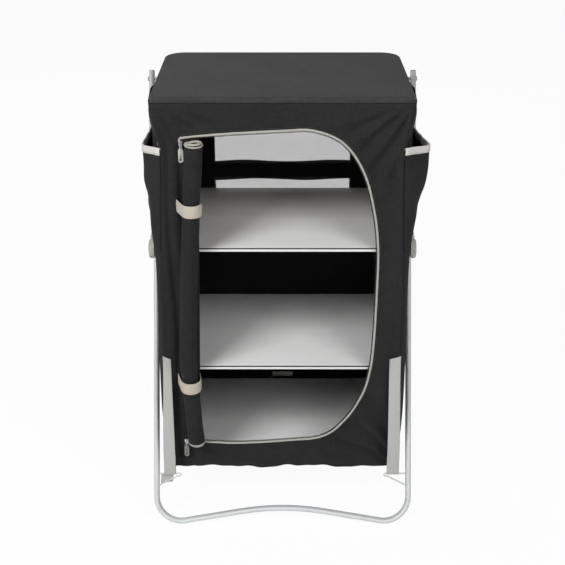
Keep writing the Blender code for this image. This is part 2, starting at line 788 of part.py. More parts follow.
def door_stretches(inset, left, left_low):
    """The door's outline in four stretches: left edge, top and arch, right edge, bottom."""
    right = door_right - inset
    top = door_top - inset
    bottom = door_bottom + inset
    widest = between(bottom, top, arch_height_share)
    shoulder_x, shoulder_z = right * 0.60, top - (top - widest) * 0.12
    foot_x, foot_z = right * 0.66, bottom + (widest - bottom) * 0.16
    left_top = door_top_left - inset
    left_bottom = door_bottom_left + inset
    arch_top = right * 0.30
    left_edge = [(-between(left_low, left, i / 12), between(left_bottom, left_top, i / 12))
                 for i in range(13)]
    over = curve_points([(-left, left_top), (-left * 0.4, between(left_top, top, 0.8)),
                         (-left * 0.1, top), (arch_top, top)], 8)
    over += curve_points([(arch_top, top), (right * 0.42, top),
                          (right * 0.52, between(shoulder_z, top, 0.62)), (shoulder_x, shoulder_z)], 4)[1:]
    down = curve_points([(shoulder_x, shoulder_z), (right * 0.88, between(widest, shoulder_z, 0.62)),
                         (right, between(widest, shoulder_z, 0.30)), (right, widest)], 7)
    down += curve_points([(right, widest), (right, between(foot_z, widest, 0.45)),
                          (right * 0.94, between(foot_z, widest, 0.12)), (foot_x, foot_z)], 7)[1:]
    under = curve_points([(foot_x, foot_z), (right * 0.50, between(bottom, foot_z, 0.35)),
                          (right * 0.30, between(bottom, foot_z, 0.05)), (0, bottom)], 6)
    under += curve_points([(0, bottom), (-left_low * 0.3, bottom), (-left_low * 0.6, left_bottom),
                           (-left_low, left_bottom)], 5)[1:]
    return [left_edge, over, down, under]


def spaced(start, end, count):
    return [between(start, end, i / (count - 1)) for i in range(count)]


def make_front_panel():
    inner = door_stretches(piping_lap, flap_edge, flap_edge_low)
    outer = []
    counts = [len(stretch) for stretch in inner]
    outer.append([(-seam_half_width(z), z) for z in seam_levels()])
    outer.append([(x, panel_top) for x in spaced(-seam_top_half_width, seam_top_half_width, counts[1])])
    outer.append([(seam_half_width(z), z) for z in seam_levels()[::-1]])
    outer.append([(x, hem(x)) for x in spaced(seam_foot_half_width, -seam_foot_half_width, counts[3])])
    ring_shares = (0.0, 0.25, 0.5, 0.75, 1.0)
    rows = []
    for share in ring_shares:
        row = []
        for inner_stretch, outer_stretch in zip(inner, outer):
            for (ax, az), (bx, bz) in zip(inner_stretch[:-1], outer_stretch[:-1]):
                x, z = between(ax, bx, share), between(az, bz, share)
                row.append((x, front_y(x, z), z))
        rows.append(row)
    cloth_sheet("front_panel", rows, fabric_thickness, "cloth", closed_rows=True)


def bevelled_curve(name, points, radius, finish, resolution=1):
    data = bpy.data.curves.new(name, "CURVE")
    data.dimensions = "3D"
    data.bevel_depth = radius
    data.bevel_resolution = resolution
    data.use_fill_caps = True
    spline = data.splines.new("POLY")
    spline.points.add(len(points) - 1)
    for slot, point in zip(spline.points, points):
        slot.co = (*point, 1)
    data.materials.append(material(finish))
    thing = bpy.data.objects.new(name, data)
    bpy.context.collection.objects.link(thing)
    return thing


def make_door_edge():
    stretches = door_stretches(0, slider_upper_x - slider_width, slider_lower_x - slider_width)
    outline = stretches[1] + stretches[2][1:] + stretches[3][1:]
    points = [(x, face_y - piping_radius, z) for x, z in outline]
    bevelled_curve("door_piping", points, piping_radius, "piping", 1)


def roll_centre(z):
    share = (z - roll_bottom) / (roll_top - roll_bottom)
    x = -between(roll_bottom_centre, roll_top_centre, share)
    return x, face_y - roll_radius


def make_roll():
    steps = 9
    sides = 14
    verts, faces = [], []
    for i in range(steps):
        z = between(roll_bottom, roll_top, i / (steps - 1))
        x, y = roll_centre(z)
        swell = 0.988 + 0.012 * math.sin(i * 2.1)
        for k in range(sides):
            turn = math.tau * (k + 0.5) / sides
            verts.append((x + roll_radius * swell * math.cos(turn), y + roll_radius * swell * math.sin(turn), z))
    for r in range(steps - 1):
        faces += [(r * sides + k, r * sides + (k + 1) % sides,
                   (r + 1) * sides + (k + 1) % sides, (r + 1) * sides + k) for k in range(sides)]
    last = (steps - 1) * sides
    faces += [tuple(range(sides)), tuple(last + k for k in range(sides - 1, -1, -1))]
    turn_out(add_object("door_roll", verts, faces, "cloth"))
    for name, low in (("roll_tie_upper", tie_upper), ("roll_tie_lower", tie_lower)):
        make_tie(name, low)


def make_tie(name, low):
    """A band from the panel round the front of the roll."""
    x, y = roll_centre(low + tie_height / 2)
    inner = roll_radius + tie_gap
    outer = inner + tie_thickness
    start_x = x - roll_radius - tie_lap
    flat = face_y
    away = Vector((start_x - x, flat - y))
    leave = math.atan2(away.y, away.x) + math.acos(inner / away.length)
    angles = [between(leave, math.tau, i / 10) for i in range(11)]
    inside = [(start_x, flat)] + [(x + inner * math.cos(a), y + inner * math.sin(a)) for a in angles]
    outside = [(start_x, flat - tie_thickness)]
    outside += [(x + outer * math.cos(a), y + outer * math.sin(a)) for a in angles]
    prism(name, inside + outside[::-1], "Z", low, low + tie_height, "tie", True)


def make_sliders():
    places = {"upper": (-slider_upper_x, slider_upper_z), "lower": (-slider_lower_x, slider_lower_z)}
    back = face_y
    for name, (x, z) in places.items():
        block = box("zip_slider_" + name, (x - slider_width / 2, back - slider_thickness, z - slider_height / 2),
                    (x + slider_width / 2, back, z + slider_height / 2), "steel")
        pin_y = back - slider_thickness / 2
        pin_z = z - slider_height / 2 - pull_pin_radius * 2
        ears = box("ears", (x - slider_width / 2, back - slider_thickness, pin_z - pull_pin_radius * 1.5),
                   (x + slider_width / 2, back - slider_thickness / 4, z), None)
        combine(block, ears, "UNION")
        slot_half = pull_width / 2 - slider_width / 6
        gap = box("gap", (x - slot_half - running_gap, back - slider_thickness * 2, pin_z - pull_pin_radius * 4),
                  (x + slot_half + running_gap, back + slider_thickness, z - slider_height / 2), None)
        combine(block, gap, "DIFFERENCE")
        make_pull("zip_pull_" + name, x, pin_y, pin_z, slot_half)


def make_pull(name, x, y, z, neck):
    """A flat tab that hangs from a cross pin between the slider's ears, with a hole near its end."""
    half = pull_width / 2
    outline = [(x - neck, z + pull_pin_radius), (x + neck, z + pull_pin_radius),
               (x + neck, z - pull_pin_radius * 3), (x + half, z - pull_pin_radius * 4)]
    outline += [(x + half * math.cos(-math.pi * i / 6), z - pull_length + half + half * math.sin(-math.pi * i / 6))
                for i in range(7)]
    outline += [(x - half, z - pull_pin_radius * 4), (x - neck, z - pull_pin_radius * 3)]
    tab = prism(name, outline, "Y", y - pull_thickness / 2, y + pull_thickness / 2, "steel")
    hole = prism("hole", round_outline((x, z - pull_length + half), half / 3, half / 3, 8), "Y",
                 y - pull_thickness, y + pull_thickness, None)
    combine(tab, hole, "DIFFERENCE")
    tab.data.transform(Matrix.Translation((-x, -y, -z)))
    tab.location = (x, y, z)


def shelf_underside(name):
    return shelf_heights[name] - shelf_thickness


def make_shelves():
    for name, top in shelf_heights.items():
        front = -shelf_front_reach + edge_thickness + running_gap
        box("shelf_" + name, (-shelf_half_width, front, top - shelf_thickness),
            (shelf_half_width, shelf_rear_reach, top), "shelf")
        box("shelf_edge_" + name, (-shelf_half_width, -shelf_front_reach, top - shelf_thickness),
            (shelf_half_width, -shelf_front_reach + edge_thickness, top), "shelf_edge")


def make_hangers():
    """Webbing that loops round the top rails; a sewn ledge under each shelf joins the two bands."""
    loop_a = rail_width / 2 + running_gap + webbing_thickness
    loop_b = rail_height / 2 + running_gap + webbing_thickness
    inside = shelf_half_width + hanger_gap
    outside = inside + webbing_thickness
    start = -math.acos((outside - rail_middle) / loop_a)
    end = -math.acos((inside - rail_middle) / loop_a)
    angles = [between(start, end + math.tau, i / 15) for i in range(16)]
    loop = [(rail_middle + loop_a * math.cos(a), rail_middle_height + loop_b * math.sin(a)) for a in angles]
    foot = shelf_underside("lower") - running_gap - webbing_thickness
    front = hinge_y + block_length / 2 + hanger_clearance
    rear = latch_y - block_length / 2 - hanger_clearance
    for name, side in left_and_right.items():
        outline = [(side * x, z) for x, z in loop + [(inside, foot), (outside, foot)]]
        hangers = prism("shelf_hangers_" + name, outline, "Y", front, front + hanger_width, "webbing")
        combine(hangers, prism("band", outline, "Y", rear - hanger_width, rear, None), "UNION")
        for shelf in shelf_heights:
            top = shelf_underside(shelf) - running_gap
            reach = (side * (inside - ledge_length), side * between(inside, outside, 0.5))
            combine(hangers, box("ledge", (min(reach), front + hanger_width / 2, top - webbing_thickness),
                                 (max(reach), rear - hanger_width / 2, top), None), "UNION")
        rail = prism("rail_space", round_outline((side * rail_middle, rail_middle_height),
                                                 rail_width / 2 + running_gap,
                                                 rail_height / 2 + running_gap, 16),
                     "Y", -overrun, overrun, None)
        combine(hangers, rail, "DIFFERENCE")


def side_outer_x(y, z):
    """Outside of the side cloth at one place."""
    section = side_section(z)
    for (xa, ya), (xb, yb) in zip(section, section[1:]):
        if ya <= y <= yb:
            return between(xa, xb, (y - ya) / (yb - ya)) + fabric_thickness / 2
    return section[0][0] + fabric_thickness / 2


def pocket_row(z, thickness, side):
    """One level of a pocket's cloth from the front seam to its rear edge."""
    rise = eased((z - pocket_bottom) / (pocket_rim - pocket_bottom))
    open_by = pocket_flare * rise
    lift = pocket_gap + thickness / 2
    stations = [y for _, y in side_section(z) if y < pocket_rear] + [pocket_rear]
    stations += [between(a, b, 0.5) for a, b in zip(stations[2:], stations[3:])]
    row = []
    for y in sorted(stations):
        share = (y - stations[0]) / (pocket_rear - stations[0])
        bulge = math.sin(math.pi * share ** 0.85) ** 0.7 if 0 < share < 1 else 0
        row.append((side * (side_outer_x(y, z) + lift + open_by * bulge), y, z))
    return row


def make_pockets():
    level_shares = (0.0, 0.12, 0.30, 0.50, 0.70, 0.88, 1.0)
    for name, side in left_and_right.items():
        levels = [between(pocket_bottom, pocket_rim, s) for s in level_shares]
        rows = [pocket_row(z, fabric_thickness, side) for z in levels]
        cloth_sheet("pocket_" + name, rows, fabric_thickness, "cloth")
        start = pocket_rim + running_gap + fabric_thickness / 2
        rows = [pocket_row(z, binding_thickness, side) for z in (start, start + binding_height / 2, start + binding_height)]
        cloth_sheet("pocket_binding_" + name, rows, binding_thickness, "binding")


def ring_point(x, z):
    """A place in the front leg frame's plane at a height."""
    down = (pivot_height - z) / math.cos(leg_lean)
    return leg_plane(-1)(Vector((x, down)), 0)


def make_strap_rings():
    leg_face = front_leg_half_width - tube_width - running_gap
    tip = leg_face - ring_reach
    for name, side in left_and_right.items():
        low = ring_height - ring_drop
        bend = ring_drop / 6
        points = [ring_point(side * leg_face, ring_height), ring_point(side * (tip + bend), ring_height),
                  ring_point(side * tip, ring_height - bend / 2),
                  ring_point(side * (tip + bend), ring_height - bend), ring_point(side * leg_face, low)]
        bevelled_curve("strap_ring_" + name, points, ring_wire, "steel", 1)


def make_straps():
    """A flat band sewn to the front seam, with an eye round the ring's upper wire."""
    _, ring_y, ring_z = ring_point(0, ring_height)
    eye = ring_wire + running_gap + webbing_thickness
    top_y = face_y - webbing_thickness / 2
    way = math.atan2(strap_top - ring_z, top_y - ring_y)
    neck = math.asin(webbing_thickness / 2 / eye)
    turns = [between(way + neck, way + math.tau - neck, i / 12) for i in range(13)]
    loop = [(ring_y + eye * math.cos(a), ring_z + eye * math.sin(a)) for a in turns]
    outline = [(face_y, strap_top), (face_y - webbing_thickness, strap_top)] + loop
    for name, side in left_and_right.items():
        ends = (side * strap_inner, side * (strap_inner + strap_width))
        strap = prism("strap_" + name, outline, "X", min(ends), max(ends), "webbing")
        combine(strap, cross_pin("hole", ring_y, ring_z, ring_wire + running_gap, -overrun, overrun,
                                 None, 10), "DIFFERENCE")


def main():
    clear_scene()
    make_leg_frames()
    make_pivots()
    make_top_frame()
    make_top()
    make_front_panel()
    make_side_panels()
    make_back_wall()
    make_bottom_panel()
    make_door_edge()
    make_roll()
    make_sliders()
    make_shelves()
    make_hangers()
    make_pockets()
    make_strap_rings()
    make_straps()


main()
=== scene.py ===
import math

import bmesh
import bpy
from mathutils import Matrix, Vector, geometry, noise


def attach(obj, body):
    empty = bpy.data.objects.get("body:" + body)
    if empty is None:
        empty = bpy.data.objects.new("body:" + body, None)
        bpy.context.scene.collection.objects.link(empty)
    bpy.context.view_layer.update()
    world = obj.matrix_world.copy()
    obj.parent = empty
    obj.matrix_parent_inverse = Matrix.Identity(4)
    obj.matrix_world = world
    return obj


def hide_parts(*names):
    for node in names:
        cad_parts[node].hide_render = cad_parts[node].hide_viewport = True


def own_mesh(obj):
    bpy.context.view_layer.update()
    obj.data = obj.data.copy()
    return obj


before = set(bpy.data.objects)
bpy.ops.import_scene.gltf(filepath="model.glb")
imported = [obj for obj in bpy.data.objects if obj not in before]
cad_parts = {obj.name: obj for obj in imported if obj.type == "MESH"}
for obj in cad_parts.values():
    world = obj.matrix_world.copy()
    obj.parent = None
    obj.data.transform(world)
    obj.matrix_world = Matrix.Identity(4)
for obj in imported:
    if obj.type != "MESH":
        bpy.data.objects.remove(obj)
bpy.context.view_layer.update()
print("frame loaded")

cupboard = {
    "pivotZ": 0.586, "hingeY": -0.1651, "hingeZ": 0.945,
    "frontY": -0.1891, "clothFace": -0.1903, "backY": 0.1991, "cloth": 0.0014,
    "topHalf": 0.271, "seamTop": 0.2685, "seamPinch": 0.251, "seamWaist": 0.264,
    "pinchZ": 0.885, "hemZ": 0.108, "panelTopZ": 0.9877, "cornerRadius": 0.045,
    "foldTop": 0.985, "foldKeep": 0.16,
}
legs = {
    "width": 0.013, "depth": 0.022, "wall": 0.0013, "sides": 36,
    "rearHalf": 0.2565, "rearPastHinge": 0.010,
    "frontHalf": 0.2935, "frontPastHinge": 0.017, "frontSpread": 0.0105,
}
shelves = {"upper": 0.665, "middle": 0.374, "lower": 0.123}
lean = math.atan2(-cupboard["hingeY"], cupboard["hingeZ"] - cupboard["pivotZ"])
bothSides = (("left", -1), ("right", 1))


# small helpers

def mix(a, b, t):
    return a + (b - a) * t


def steps(low, high, count):
    return [mix(low, high, i / count) for i in range(count + 1)]


def ease(t):
    t = min(max(t, 0.0), 1.0)
    return t * t * (3 - 2 * t)


def hump(t):
    t = min(max(t, 0.0), 1.0)
    return 4 * t * (1 - t)


def bell(value, centre, spread):
    return math.exp(-((value - centre) / spread) ** 2)


def swing(angle):
    # a sine that runs between 0 and 1
    return 0.5 + 0.5 * math.sin(angle)


def rumple(x, y, z, size, seed=0.0):
    return noise.noise(Vector((x / size + seed, y / size - seed * 0.7, z / size + seed * 0.3)))


def circle(count, at):
    # the points that at gives for the cosine and sine at even steps round a circle
    angles = [math.tau * k / count for k in range(count)]
    return [at(math.cos(a), math.sin(a)) for a in angles]


def runLengths(points):
    lengths = [0.0]
    for a, b in zip(points, points[1:]):
        lengths.append(lengths[-1] + (Vector(b) - Vector(a)).length)
    return lengths


def evenly(points, count):
    # the same line with points an even distance apart
    points = [Vector(p) for p in points]
    lengths = runLengths(points)
    result, k = [], 0
    for i in range(count):
        want = lengths[-1] * i / (count - 1)
        while k < len(points) - 2 and lengths[k + 1] < want:
            k += 1
        span = max(lengths[k + 1] - lengths[k], 1e-9)
        result.append(points[k].lerp(points[k + 1], min(max((want - lengths[k]) / span, 0), 1)))
    return result


# materials: a socket that takes part in sums, and one method for every other node

class Wire:
    def __init__(self, nodes, socket):
        self.nodes = nodes
        self.socket = socket

    def sum(self, operation, first, second=None):
        values = {0: first}
        if second is not None:
            values[1] = second
        return self.nodes.add("ShaderNodeMath", {"operation": operation}, values)

    def __add__(self, other):
        return self.sum("ADD", self, other)

    def __radd__(self, other):
        return self.sum("ADD", other, self)

    def __sub__(self, other):
        return self.sum("SUBTRACT", self, other)

    def __rsub__(self, other):
        return self.sum("SUBTRACT", other, self)

    def __mul__(self, other):
        return self.sum("MULTIPLY", self, other)

    def __rmul__(self, other):
        return self.sum("MULTIPLY", other, self)

    def sine(self):
        return self.sum("SINE", self)

    def size(self):
        return self.sum("ABSOLUTE", self)

    def above(self, level):
        return self.sum("GREATER_THAN", self, level)

    def soft(self, low, high):
        return self.nodes.add("ShaderNodeMapRange", {"interpolation_type": "SMOOTHSTEP"},
                              {"Value": self, "From Min": low, "From Max": high})


class Nodes:
    def __init__(self, name):
        self.material = bpy.data.materials.new(name)
        self.material.use_nodes = True
        self.tree = self.material.node_tree
        self.shader = self.tree.nodes["Principled BSDF"]

    def add(self, kind, settings=None, inputs=None, output=0):
        node = self.tree.nodes.new(kind)
        for key, value in (settings or {}).items():
            if key == "stops":
                while len(node.color_ramp.elements) < len(value):
                    node.color_ramp.elements.new(0.5)
                for element, (place, colour) in zip(node.color_ramp.elements, value):
                    element.position = place
                    element.color = (*colour, 1)
            else:
                setattr(node, key, value)
        for key, value in (inputs or {}).items():
            self.link(node.inputs[key], value)
        return Wire(self, node.outputs[output])

    def link(self, socket, value):
        if isinstance(value, Wire):
            self.tree.links.new(value.socket, socket)
        else:
            socket.default_value = value

    def place(self, source="Object"):
        return self.add("ShaderNodeTexCoord", None, None, source)

    def axes(self, vector):
        split = self.add("ShaderNodeSeparateXYZ", None, {0: vector})
        node = split.socket.node
        return [Wire(self, node.outputs[i]) for i in range(3)]

    def stretched(self, vector, scale):
        return self.add("ShaderNodeMapping", None, {"Vector": vector, "Scale": scale})

    def cloudy(self, vector, scale, detail=4.0, rough=0.5):
        return self.add("ShaderNodeTexNoise", None,
                        {"Vector": vector, "Scale": scale, "Detail": detail, "Roughness": rough})

    def tint(self, share, low, high):
        return self.add("ShaderNodeMix", {"data_type": "RGBA"},
                        {"Factor": share, "A": (*low, 1), "B": (*high, 1)}, 2)

    def bump(self, height, distance, strength=1.0, before=None):
        inputs = {"Height": height, "Distance": distance, "Strength": strength}
        if before is not None:
            inputs["Normal"] = before
        return self.add("ShaderNodeBump", None, inputs)

    def surface(self, **values):
        for key, value in values.items():
            name = {"colour": "Base Color", "roughness": "Roughness", "metal": "Metallic",
                    "normal": "Normal", "alpha": "Alpha", "sheen": "Sheen Weight",
                    "specular": "Specular IOR Level"}[key]
            if isinstance(value, tuple):
                value = (*value, 1)
            self.link(self.shader.inputs[name], value)
        return self.material


def wovenCloth(name, dark, light, pitch=0.0009, depth=0.00022, sheen=0.04):
    # plain weave: raised warp and weft threads that pass over each other
    n = Nodes(name)
    uv = n.place("UV")
    u, v, _ = n.axes(uv)
    turn = math.tau / (pitch * 2)
    over = (u * turn).sine() * (v * turn).sine()
    ribs = (u * (turn * 2)).sine() * over.above(0) + (v * (turn * 2)).sine() * (1 - over.above(0))
    warp = n.cloudy(n.stretched(uv, (1.0, 0.03, 1.0)), 1100.0, 2.0)
    weft = n.cloudy(n.stretched(uv, (0.03, 1.0, 1.0)), 1100.0, 2.0)
    slubs = warp * 0.5 + weft * 0.5
    patches = n.cloudy(uv, 9.0, 3.0, 0.55)
    share = (slubs.soft(0.36, 0.64) * 0.7 + over.soft(-1, 1) * 0.3) * 0.8 + patches.soft(0.3, 0.7) * 0.2
    crumple = n.bump(n.cloudy(uv, 55.0, 4.0, 0.6), 0.0006, 0.5)
    return n.surface(colour=n.tint(share, dark, light), roughness=0.78 + 0.14 * slubs, sheen=sheen,
                     specular=0.16, normal=n.bump(ribs * 0.5 + slubs, depth, 0.6, crumple))


def webbing(name, dark, light):
    # flat woven tape: a herringbone of fine ribs with denser edges
    n = Nodes(name)
    uv = n.place("UV")
    u, v, _ = n.axes(uv)
    zig = (u * (math.tau / 0.006)).sine() * 2.2
    ribs = (v * (math.tau / 0.0012) + zig).sine()
    fuzz = n.cloudy(n.stretched(uv, (1.0, 0.3, 1.0)), 900.0, 3.0)
    share = ribs.soft(-1, 1) * 0.45 + fuzz.soft(0.3, 0.7) * 0.55
    return n.surface(colour=n.tint(share, dark, light), roughness=0.8 + 0.1 * fuzz, sheen=0.2,
                     specular=0.3, normal=n.bump(ribs + fuzz, 0.00025, 0.6))


def ribbedTape(name, dark, light, pitch=0.0011):
    # narrow trim: slanting ribs that run on round its edges
    n = Nodes(name)
    spot = n.place()
    x, y, z = n.axes(spot)
    ribs = ((x + y * 0.7 + z) * (math.tau / pitch)).sine()
    fuzz = n.cloudy(spot, 700.0, 3.0)
    share = ribs.soft(-1, 1) * 0.35 + fuzz.soft(0.3, 0.7) * 0.65
    return n.surface(colour=n.tint(share, dark, light), roughness=0.75 + 0.12 * fuzz, sheen=0.2,
                     specular=0.3, normal=n.bump(ribs * 0.5 + fuzz, 0.0002, 0.5))


def satinTube(name, tone, rough=0.50):
    # anodised tube: faint draw lines along its length and a soft cloudiness
    n = Nodes(name)
    spot = n.place()
    lines = n.cloudy(n.stretched(spot, (1.0, 1.0, 0.02)), 2600.0, 2.0)
    cloud = n.cloudy(spot, 14.0, 3.0)
    share = lines.soft(0.3, 0.7) * 0.4 + cloud.soft(0.25, 0.75) * 0.6
    dull = tuple(c * 0.9 for c in tone)
    return n.surface(colour=n.tint(share, dull, tone), metal=0.25, roughness=rough + 0.12 * lines,
                     normal=n.bump(lines, 0.00004, 0.3))


def mouldedPlastic(name, tone, rough=0.5):
    n = Nodes(name)
    spot = n.place()
    grain = n.cloudy(spot, 1500.0, 2.0)
    cloud = n.cloudy(spot, 30.0, 3.0)
    dull = tuple(c * 0.82 for c in tone)
    return n.surface(colour=n.tint(cloud.soft(0.3, 0.7), dull, tone), roughness=rough + 0.15 * grain,
                     normal=n.bump(grain, 0.00008, 0.35))


def brightSteel(name, tone):
    n = Nodes(name)
    spot = n.place()
    marks = n.cloudy(n.stretched(spot, (1.0, 0.1, 1.0)), 1800.0, 3.0)
    dull = tuple(c * 0.8 for c in tone)
    return n.surface(colour=n.tint(marks.soft(0.3, 0.7), dull, tone), metal=0.9,
                     roughness=0.22 + 0.2 * marks, normal=n.bump(marks, 0.00003, 0.3))


def coatedBoard(name, dark, light):
    # light shelf board: a fine pebbled coat with faint lengthwise drift in tone
    n = Nodes(name)
    spot = n.place()
    pebble = n.cloudy(spot, 850.0, 3.0)
    drift = n.cloudy(n.stretched(spot, (0.25, 1.0, 1.0)), 12.0, 3.0)
    share = pebble.soft(0.3, 0.7) * 0.35 + drift.soft(0.25, 0.75) * 0.65
    return n.surface(colour=n.tint(share, dark, light), roughness=0.42 + 0.2 * pebble,
                     specular=0.35, normal=n.bump(pebble, 0.00012, 0.4))


def fineNet(name, tone):
    # knitted net: threads round small holes, seen through at a distance
    n = Nodes(name)
    uv = n.place("UV")
    u, v, _ = n.axes(uv)
    pitch = math.tau / 0.0030
    a = ((u + v) * pitch).sine()
    b = ((u - v) * pitch).sine()
    holes = (a * b).size().soft(0.02, 0.30)
    fuzz = n.cloudy(uv, 900.0, 2.0)
    dull = tuple(c * 0.6 for c in tone)
    return n.surface(colour=n.tint(fuzz, dull, tone), roughness=0.8, alpha=1.0 - holes * 0.90)


def fibreBoard(name):
    n = Nodes(name)
    spot = n.place()
    fibres = n.cloudy(n.stretched(spot, (0.2, 1.0, 1.0)), 420.0, 5.0)
    return n.surface(colour=n.tint(fibres, (0.22, 0.16, 0.10), (0.42, 0.32, 0.21)), roughness=0.8,
                     normal=n.bump(fibres, 0.0002, 0.5))


finishes = {
    # a lighter copy of the body cloth for the top cover: its extra lightness is painted light, for the
    # upward-facing top that catches more light
    "topClothPaintedLight": wovenCloth("topClothPaintedLight", (0.025, 0.025, 0.026), (0.062, 0.062, 0.063)),
    "bodyCloth": wovenCloth("bodyCloth", (0.0105, 0.0107, 0.0107), (0.030, 0.0302, 0.0300)),
    # a darker copy of the body cloth for the back and bottom panels: its extra darkness is painted shade for
    # the inside, where little light reaches
    "innerCloth": wovenCloth("innerCloth", (0.006, 0.0062, 0.0062), (0.014, 0.0142, 0.0142)),
    "rollCloth": wovenCloth("rollCloth", (0.0095, 0.0097, 0.0097), (0.027, 0.0272, 0.0270)),
    "strapTape": webbing("strapTape", (0.42, 0.42, 0.40), (0.60, 0.595, 0.57)),
    "tieTape": webbing("tieTape", (0.46, 0.42, 0.34), (0.66, 0.61, 0.52)),
    "hangerTape": webbing("hangerTape", (0.020, 0.021, 0.022), (0.045, 0.046, 0.047)),
    "piping": ribbedTape("piping", (0.33, 0.32, 0.29), (0.52, 0.50, 0.46)),
    "binding": ribbedTape("binding", (0.58, 0.57, 0.54), (0.78, 0.77, 0.74), 0.0016),
    "thread": ribbedTape("thread", (0.030, 0.031, 0.032), (0.075, 0.076, 0.077), 0.0006),
    "paleThread": ribbedTape("paleThread", (0.40, 0.39, 0.37), (0.60, 0.58, 0.55), 0.0006),
    "zipTeeth": mouldedPlastic("zipTeeth", (0.020, 0.020, 0.021), 0.35),
    "tube": satinTube("tube", (0.76, 0.78, 0.785)),
    "greyPlastic": mouldedPlastic("greyPlastic", (0.54, 0.53, 0.485)),
    "blackPlastic": mouldedPlastic("blackPlastic", (0.022, 0.022, 0.024)),
    "dullPlastic": mouldedPlastic("dullPlastic", (0.27, 0.265, 0.25), 0.4),
    "palePlastic": mouldedPlastic("palePlastic", (0.58, 0.565, 0.53), 0.4),
    "steel": brightSteel("steel", (0.62, 0.63, 0.64)),
    "paleWire": mouldedPlastic("paleWire", (0.70, 0.71, 0.71), 0.35),
    "shelfTop": coatedBoard("shelfTop", (0.70, 0.70, 0.695), (0.80, 0.80, 0.795)),
    "shelfLip": coatedBoard("shelfLip", (0.74, 0.74, 0.735), (0.84, 0.84, 0.835)),
    "net": fineNet("net", (0.16, 0.16, 0.16)),
    "board": fibreBoard("board"),
}
print("finishes made")


# mesh builders

def linked(name, data):
    thing = bpy.data.objects.new(name, data)
    bpy.context.scene.collection.objects.link(thing)
    return thing


def remake(mesh, change):
    work = bmesh.new()
    work.from_mesh(mesh)
    change(work)
    work.to_mesh(mesh)
    work.free()


def outwards(work):
    bmesh.ops.recalc_face_normals(work, faces=work.faces)


def smoothed(mesh):
    mesh.shade_smooth()
    mesh.set_sharp_from_angle(angle=math.radians(50))


def meshObject(name, verts, faces, finish, uvs=None):
    mesh = bpy.data.meshes.new(name)
    mesh.from_pydata([Vector(v) for v in verts], [], faces)
    if uvs is not None:
        layer = mesh.uv_layers.new(name="clothUv")
        for loop in mesh.loops:
            layer.data[loop.index].uv = uvs[loop.vertex_index]
    mesh.validate()
    remake(mesh, outwards)
    smoothed(mesh)
    mesh.materials.append(finishes[finish])
    return linked(name, mesh)


def settle(thing):
    # the evaluated shape as a plain mesh with no modifiers
    bpy.context.view_layer.update()
    graph = bpy.context.evaluated_depsgraph_get()
    mesh = bpy.data.meshes.new_from_object(thing.evaluated_get(graph))
    name = thing.name
    bpy.data.objects.remove(thing)
    made = linked(name, mesh)
    mesh.name = name
    return made


def thicken(thing, thickness, offset=0.0):
    step = thing.modifiers.new("thickness", "SOLIDIFY")
    step.thickness = thickness
    step.offset = offset
    return settle(thing)


def rounded(thing, width, segments=2):
    step = thing.modifiers.new("edges", "BEVEL")
    step.width = width
    step.segments = segments
    step.limit_method = "ANGLE"
    step.angle_limit = math.radians(40)
    made = settle(thing)
    smoothed(made.data)
    return made


def cut(thing, tool):
    step = thing.modifiers.new("cut", "BOOLEAN")
    step.operation = "DIFFERENCE"
    step.solver = "EXACT"
    step.object = tool
    made = settle(thing)
    bpy.data.objects.remove(tool)
    return made


def gridSheet(name, rows, finish, thickness, closed=False, uvRows=None):
    # a sheet through rows of points; its UV map is in metres along and across the cloth
    count = len(rows[0])
    verts = [Vector(p) for row in rows for p in row]
    if uvRows is None:
        across = runLengths(rows[len(rows) // 2])
        along = runLengths([row[count // 2] for row in rows])
        uvs = [(u, v) for v in along for u in across]
    else:
        uvs = [uv for row in uvRows for uv in row]
    faces = []
    for r in range(len(rows) - 1):
        for c in range(count if closed else count - 1):
            a, b = r * count + c, r * count + (c + 1) % count
            faces.append((a, b, b + count, a + count))
    sheet = meshObject(name, verts, faces, finish, uvs)
    return thicken(sheet, thickness) if thickness else sheet


def rings(loops, capped=True):
    # a skin over loops of points, with flat ends
    n = len(loops[0])
    verts = [v for loop in loops for v in loop]
    faces = []
    for r in range(len(loops) - 1):
        for k in range(n):
            a, b = r * n + k, r * n + (k + 1) % n
            faces.append((a, b, b + n, a + n))
    if capped:
        faces += [tuple(range(n)), tuple(range(len(verts) - 1, len(verts) - n - 1, -1))]
    return verts, faces


def turnedX(name, y, z, side, profile, finish, sides=40):
    # a turned piece on a line along X, from (distance out, radius) pairs
    loops = [circle(sides, lambda c, s: (side * x, y + radius * c, z + radius * s)) for x, radius in profile]
    return meshObject(name, *rings(loops), finish)


def legPlane(direction):
    # places in a leg frame's plane: across, down from the crossing bolts, and out of the plane
    c, s = math.cos(lean), math.sin(lean)

    def place(x, down, out=0.0):
        return Vector((x, direction * (down * s + out * c), cupboard["pivotZ"] - down * c + out * s))
    return place


def roundedPath(corners, radii, perTurn):
    # straight runs between the corners, each corner rounded to its radius
    points = [Vector(corners[0])]
    for before, here, after, radius in zip(corners, corners[1:], corners[2:], radii):
        here = Vector(here)
        into = (here - Vector(before)).normalized()
        out = (Vector(after) - here).normalized()
        turn = into.angle_signed(out)
        half = abs(turn) / 2
        centre = here + (out - into).normalized() * radius / math.cos(half)
        start = here - into * radius * math.tan(half) - centre
        count = max(6, round(perTurn * abs(turn) / (math.pi / 2)))
        for i in range(count + 1):
            angle = -turn * i / count
            c, s = math.cos(angle), math.sin(angle)
            points.append(centre + Vector((start.x * c - start.y * s, start.x * s + start.y * c)))
    points.append(Vector(corners[-1]))
    return points


